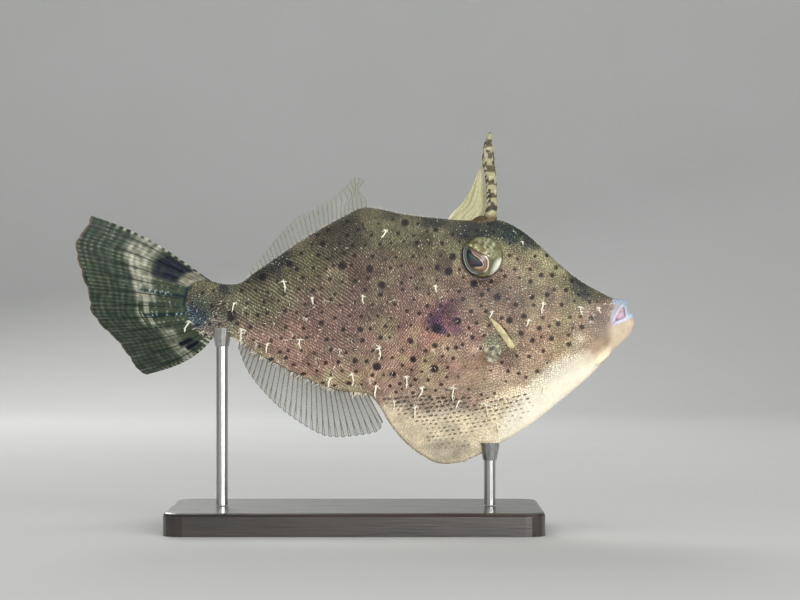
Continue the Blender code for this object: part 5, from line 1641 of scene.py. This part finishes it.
def eye_colours(x, z):
    """Colours of an eye by place from its centre, seen from the side."""
    places = at(x, 0, z)
    rough, fine = noise(places, 0.7, 71), noise(places, 0.35, 74)
    opening, pupil = closed_smooth(LID_OPENING), closed_smooth(PUPIL)
    within, hole = inside(x, z, opening, 0), inside(x, z, pupil, 0)
    rim = path_distance(x, z, opening + opening[:1])
    edge = path_distance(x, z, pupil + pupil[:1])
    warm = ease((x + 4.4 + 0.35 * z) / 1.8)
    ahead = rise(x, 0.3, 0.9)
    around = np.maximum(ease((-x - 3.6 - 0.25 * z) / 1.6), ease((-z - 4.2) / 1) * ease((-x - 1) / 1.5))

    def band(distance, middle, half):
        return np.exp(-((distance - middle) / half) ** 2)

    disc = coats(srgb(62, 68, 62),
                 (srgb(146, 116, 96), 0.85 * warm * (0.55 + 0.6 * rough)),
                 (srgb(84, 58, 54), 0.8 * warm * band(edge + 0.3 * rough, 1.45, 0.28)),
                 (srgb(112, 78, 66), 0.7 * warm * band(edge, 0.62, 0.16)),
                 (srgb(176, 150, 126), 0.6 * warm * band(edge, 1, 0.16)),
                 (srgb(196, 174, 124), 0.8 * blot(x, z, (-1.4, -3.85), (1.5, 0.28))),
                 (srgb(140, 92, 84), 0.6 * blot(x, z, (-1.6, -4.6), (1.4, 0.4))),
                 (srgb(98, 98, 88), 0.85 * ease((-z - 4.7) / 0.7)),
                 (srgb(236, 204, 186), 0.9 * fall(edge, 0.26, 0.16) * warm * fall(z, 2.4, 1)),
                 (srgb(26, 32, 46), 0.85 * blot(x, z, (-5.3, 2.9), (0.9, 0.8), -45)))
    deep = srgb(34, 42, 48)
    for px, pz, reach_x, reach_z, lean, colour, strength in PUPIL_SHEEN:
        share = strength * blot(x, z, (px, pz), (reach_x, reach_z), lean) * (0.45 + 0.75 * fine)
        deep = blend(deep, 0.36 * colour + 0.12 * colour.mean(), np.minimum(share, 1))
    deep = blend(deep, srgb(14, 16, 26), 0.9 * fall(edge, 0.34, 0.24))
    disc = coats(np.where(hole[:, None], deep, disc),
                 (srgb(112, 120, 112), 0.7 * around * fall(rim, 1.3, 0.3)),
                 (srgb(196, 188, 194), 0.9 * around * band(rim, 0.30, 0.11)),
                 (srgb(160, 158, 160), 0.65 * around * band(rim, 0.92, 0.11) * fall(z, 2.6, 1.5)),
                 (srgb(240, 222, 200), 0.95 * ahead * band(rim, 0.34, 0.2)))
    tone = np.where(within[:, None], disc, lid_colours(x, z))
    dark = np.where(within, fall(rim, 0.16, 0.14), fall(rim, 0.24, 0.2))
    return blend(tone, srgb(46, 34, 20), dark * (0.9 - 0.45 * ahead))


def build_eyes():
    """Domed eyes that look back and a little down, under spotted skin."""
    around, rings = 260, 120
    ball = dome(around, rings, 0.62)[:, [0, 2, 1]]
    faces = tube_faces(1, rings, around)
    x, z = ball[:, 0] * EYE_RADII[0], ball[:, 2] * EYE_RADII[2]
    opening = closed_smooth(LID_OPENING)
    rim = path_distance(x, z, opening + opening[:1])
    signed = np.where(inside(x, z, opening, 0), -rim, rim)
    lid = 0.26 * rise(signed, -0.25, 0.5) - 0.26 + 0.30 * ease((-signed - 0.8) / 2)
    lumps = 0.16 * (noise(at(x, 0, z), 1.3, 75) - 0.5) * rise(signed, 0.3, 0.6)
    grow = (lid + lumps * rise(z, -1, 2)) * fall(np.hypot(x, z), 7, 1)
    tint = eye_colours(x, z)
    for side, word in SIDES:
        place = (ball * np.array(EYE_RADII) + ball * grow[:, None]) * np.array([1, side, 1])
        look = painted_material("eye_ball", 0.36, 0.6, 0.02, 0.45,
                                Coat_Weight=0.35, Coat_Roughness=0.12, Coat_IOR=1.36)
        add_object("eyeball_" + word, place + np.array([EYE.x, side * EYE.y, EYE.z]),
                   faces if side > 0 else faces[:, ::-1], look, "eye", ("eye_" + word,), tint=tint)


def build_teeth():
    """The beak of front teeth seen through the parted lips."""
    parts = []
    t = spread(8)[:, None]
    for side in (-1, 1):
        for x, z, size in ((93.3, -2.7, 0.5), (92.85, -3.1, 0.36)):
            top = np.array([x, side * (MOUTH_WALL + 0.15), z])
            path = top + np.array([-0.25, side * 0.1, -1]) * 1.9 * size * t
            width = 0.52 * size * np.sqrt(np.maximum(1 - (t[:, 0] ** 3) * 0.96, 0.02))
            parts.append(tubes([path], [width], 12, 0.7))
    look = painted_material("tooth_enamel", 0.25, 0.6, 0.02, 0.6, Coat_Weight=0.5, Coat_Roughness=0.1)
    add_object("teeth", *join(parts), look, "teeth", ("upper_teeth",), tint=srgb(238, 228, 218))


def build_gill_rim(side, word):
    """The pale fleshy rim along the gill opening, with painted shade along both its edges."""
    line = catmull(GILL_LINE, 8)
    share = spread(len(line))
    centre = skin_point(line[:, 0], line[:, 1], side, 0.15)
    heading = unit(np.gradient(centre, axis=0))
    width = 0.30 + 0.88 * ease(share / 0.45) + 0.08 * share
    width *= np.sqrt(np.clip(1 - np.abs(2 * share - 1) ** 12, 0.05, 1))
    sides = 20
    turn = circle(sides)
    out = np.array([0, side, 0])
    across = unit(np.cross(heading, out))
    ring = (across[:, None] * (np.cos(turn)[None] * width[:, None])[..., None]
            + out * (np.sin(turn)[None] * (0.12 + 0.42 * width[:, None]))[..., None])
    points = (centre[:, None] + ring).reshape(-1, 3)
    # Darker along both edges of the rim, where it meets the skin and the slit: painted shade.
    furrow_shade = np.tile(rise(np.abs(np.cos(turn)), 0.80, 0.18), len(line))
    tone = coats(srgb(208, 198, 150),
                 (srgb(168, 150, 112), 0.6 * rise(noise(points, 1.2, 81), 0.5, 0.2)),
                 (skin_tone(points), 0.7 * fall(np.repeat(share, sides), 0.3, 0.3)),
                 (srgb(104, 88, 62), 0.8 * furrow_shade))
    add_object("gill_rim_" + word, points, tube_faces(1, len(line), sides),
               painted_material("gill_rim", 0.45, 0.5, 0.08, 0.45),
               "pale_rim", ("gill_flap_" + word,), tint=tone)


# Stand

def stand_materials():
    wood = Shader("lacquered_wood", Specular_IOR_Level=0.5, Coat_Weight=0.6, Coat_Roughness=0.12)
    rings = wood.noise(9, 4, (0.10, 1, 1), 1.2)
    pores = wood.noise(0.7, 2, (0.06, 1, 1))
    grain = wood.mix(wood.range(rings, 0.35, 0.65, 0, 1), srgb(30, 24, 20), srgb(50, 38, 30))
    wood.use("Base Color", wood.mix(wood.range(pores, 0.55, 0.75, 0, 0.5), grain, srgb(16, 13, 11)))
    wood.use("Roughness", wood.range(pores, 0.3, 0.7, 0.28, 0.42))
    wood.relief(pores, 0.05)
    steel = Shader("brushed_steel", Metallic=1)
    lines = steel.noise(0.35, 3, (1, 1, 0.02))
    steel.use("Base Color", steel.mix(lines, srgb(150, 150, 148), srgb(196, 196, 194)))
    steel.use("Roughness", steel.range(lines, 0.3, 0.7, 0.24, 0.40))
    steel.relief(lines, 0.02)
    return wood.material, steel.material


def build_stand():
    wood, steel = stand_materials()
    for name, material in (("stand_base", wood), ("stand_rod_front", steel), ("stand_rod_rear", steel)):
        materials = frame["nodes"][name].data.materials
        materials.clear()
        materials.append(material)


# Stage

def area_light(name, place, size, power):
    """A round soft light aimed at the fish."""
    light = bpy.data.lights.new(name, "AREA")
    light.shape, light.size, light.energy = "DISK", size, power
    obj = bpy.data.objects.new(name, light)
    obj.location = place
    obj.rotation_euler = (Vector(AIM) - Vector(place)).to_track_quat("-Z", "Y").to_euler()
    bpy.context.scene.collection.objects.link(obj)


def build_stage():
    """A pale floor that curves up into a wall, soft lights, and the camera."""
    front, rear, radius, high, half = -1.6, 0.9, 0.6, 2.4, 2.4
    bend = [(rear + radius * math.sin(a), radius - radius * math.cos(a)) for a in 0.5 * np.pi * spread(24)]
    profile = [(front, 0)] + bend + [(rear + radius, high)]
    points = [(x, y, z) for y, z in profile for x in (-half, half)]
    faces = [(2 * i, 2 * i + 1, 2 * i + 3, 2 * i + 2) for i in range(len(profile) - 1)]
    backdrop = link_mesh("backdrop", points, faces)
    backdrop.data.shade_smooth()
    paper = Shader("backdrop_paper", Roughness=0.85, Specular_IOR_Level=0.2)
    paper.use("Base Color", paper.mix(paper.noise(120, 2), srgb(214, 215, 212), srgb(220, 220, 218)))
    backdrop.data.materials.append(paper.material)

    for light in LIGHTS:
        area_light(*light)
    world = bpy.data.worlds.new("studio")
    world.use_nodes = True
    background = world.node_tree.nodes["Background"]
    background.inputs["Color"].default_value = (0.86, 0.88, 0.9, 1)
    background.inputs["Strength"].default_value = 0.30
    bpy.context.scene.world = world
    bpy.context.scene.view_settings.view_transform = "Standard"

    camera = bpy.data.cameras.new("camera")
    camera.sensor_width = SENSOR
    camera.lens = SENSOR * -CAMERA_PLACE[1] / VIEW_WIDTH
    camera.clip_start = 0.01
    eye = bpy.data.objects.new("camera", camera)
    eye.location = CAMERA_PLACE
    eye.rotation_euler = (math.radians(90), 0, 0)
    bpy.context.scene.collection.objects.link(eye)
    bpy.context.scene.camera = eye


def main():
    build_stage()
    tree = build_skin()
    build_scales(tree)
    build_tassels(tree)
    build_edge_frill()
    build_soft_fins()
    build_tail_fin()
    build_spine()
    build_web()
    build_eyes()
    build_teeth()
    for side, word in SIDES:
        build_pectoral(side, word)
        build_gill_rim(side, word)
    build_stand()


main()
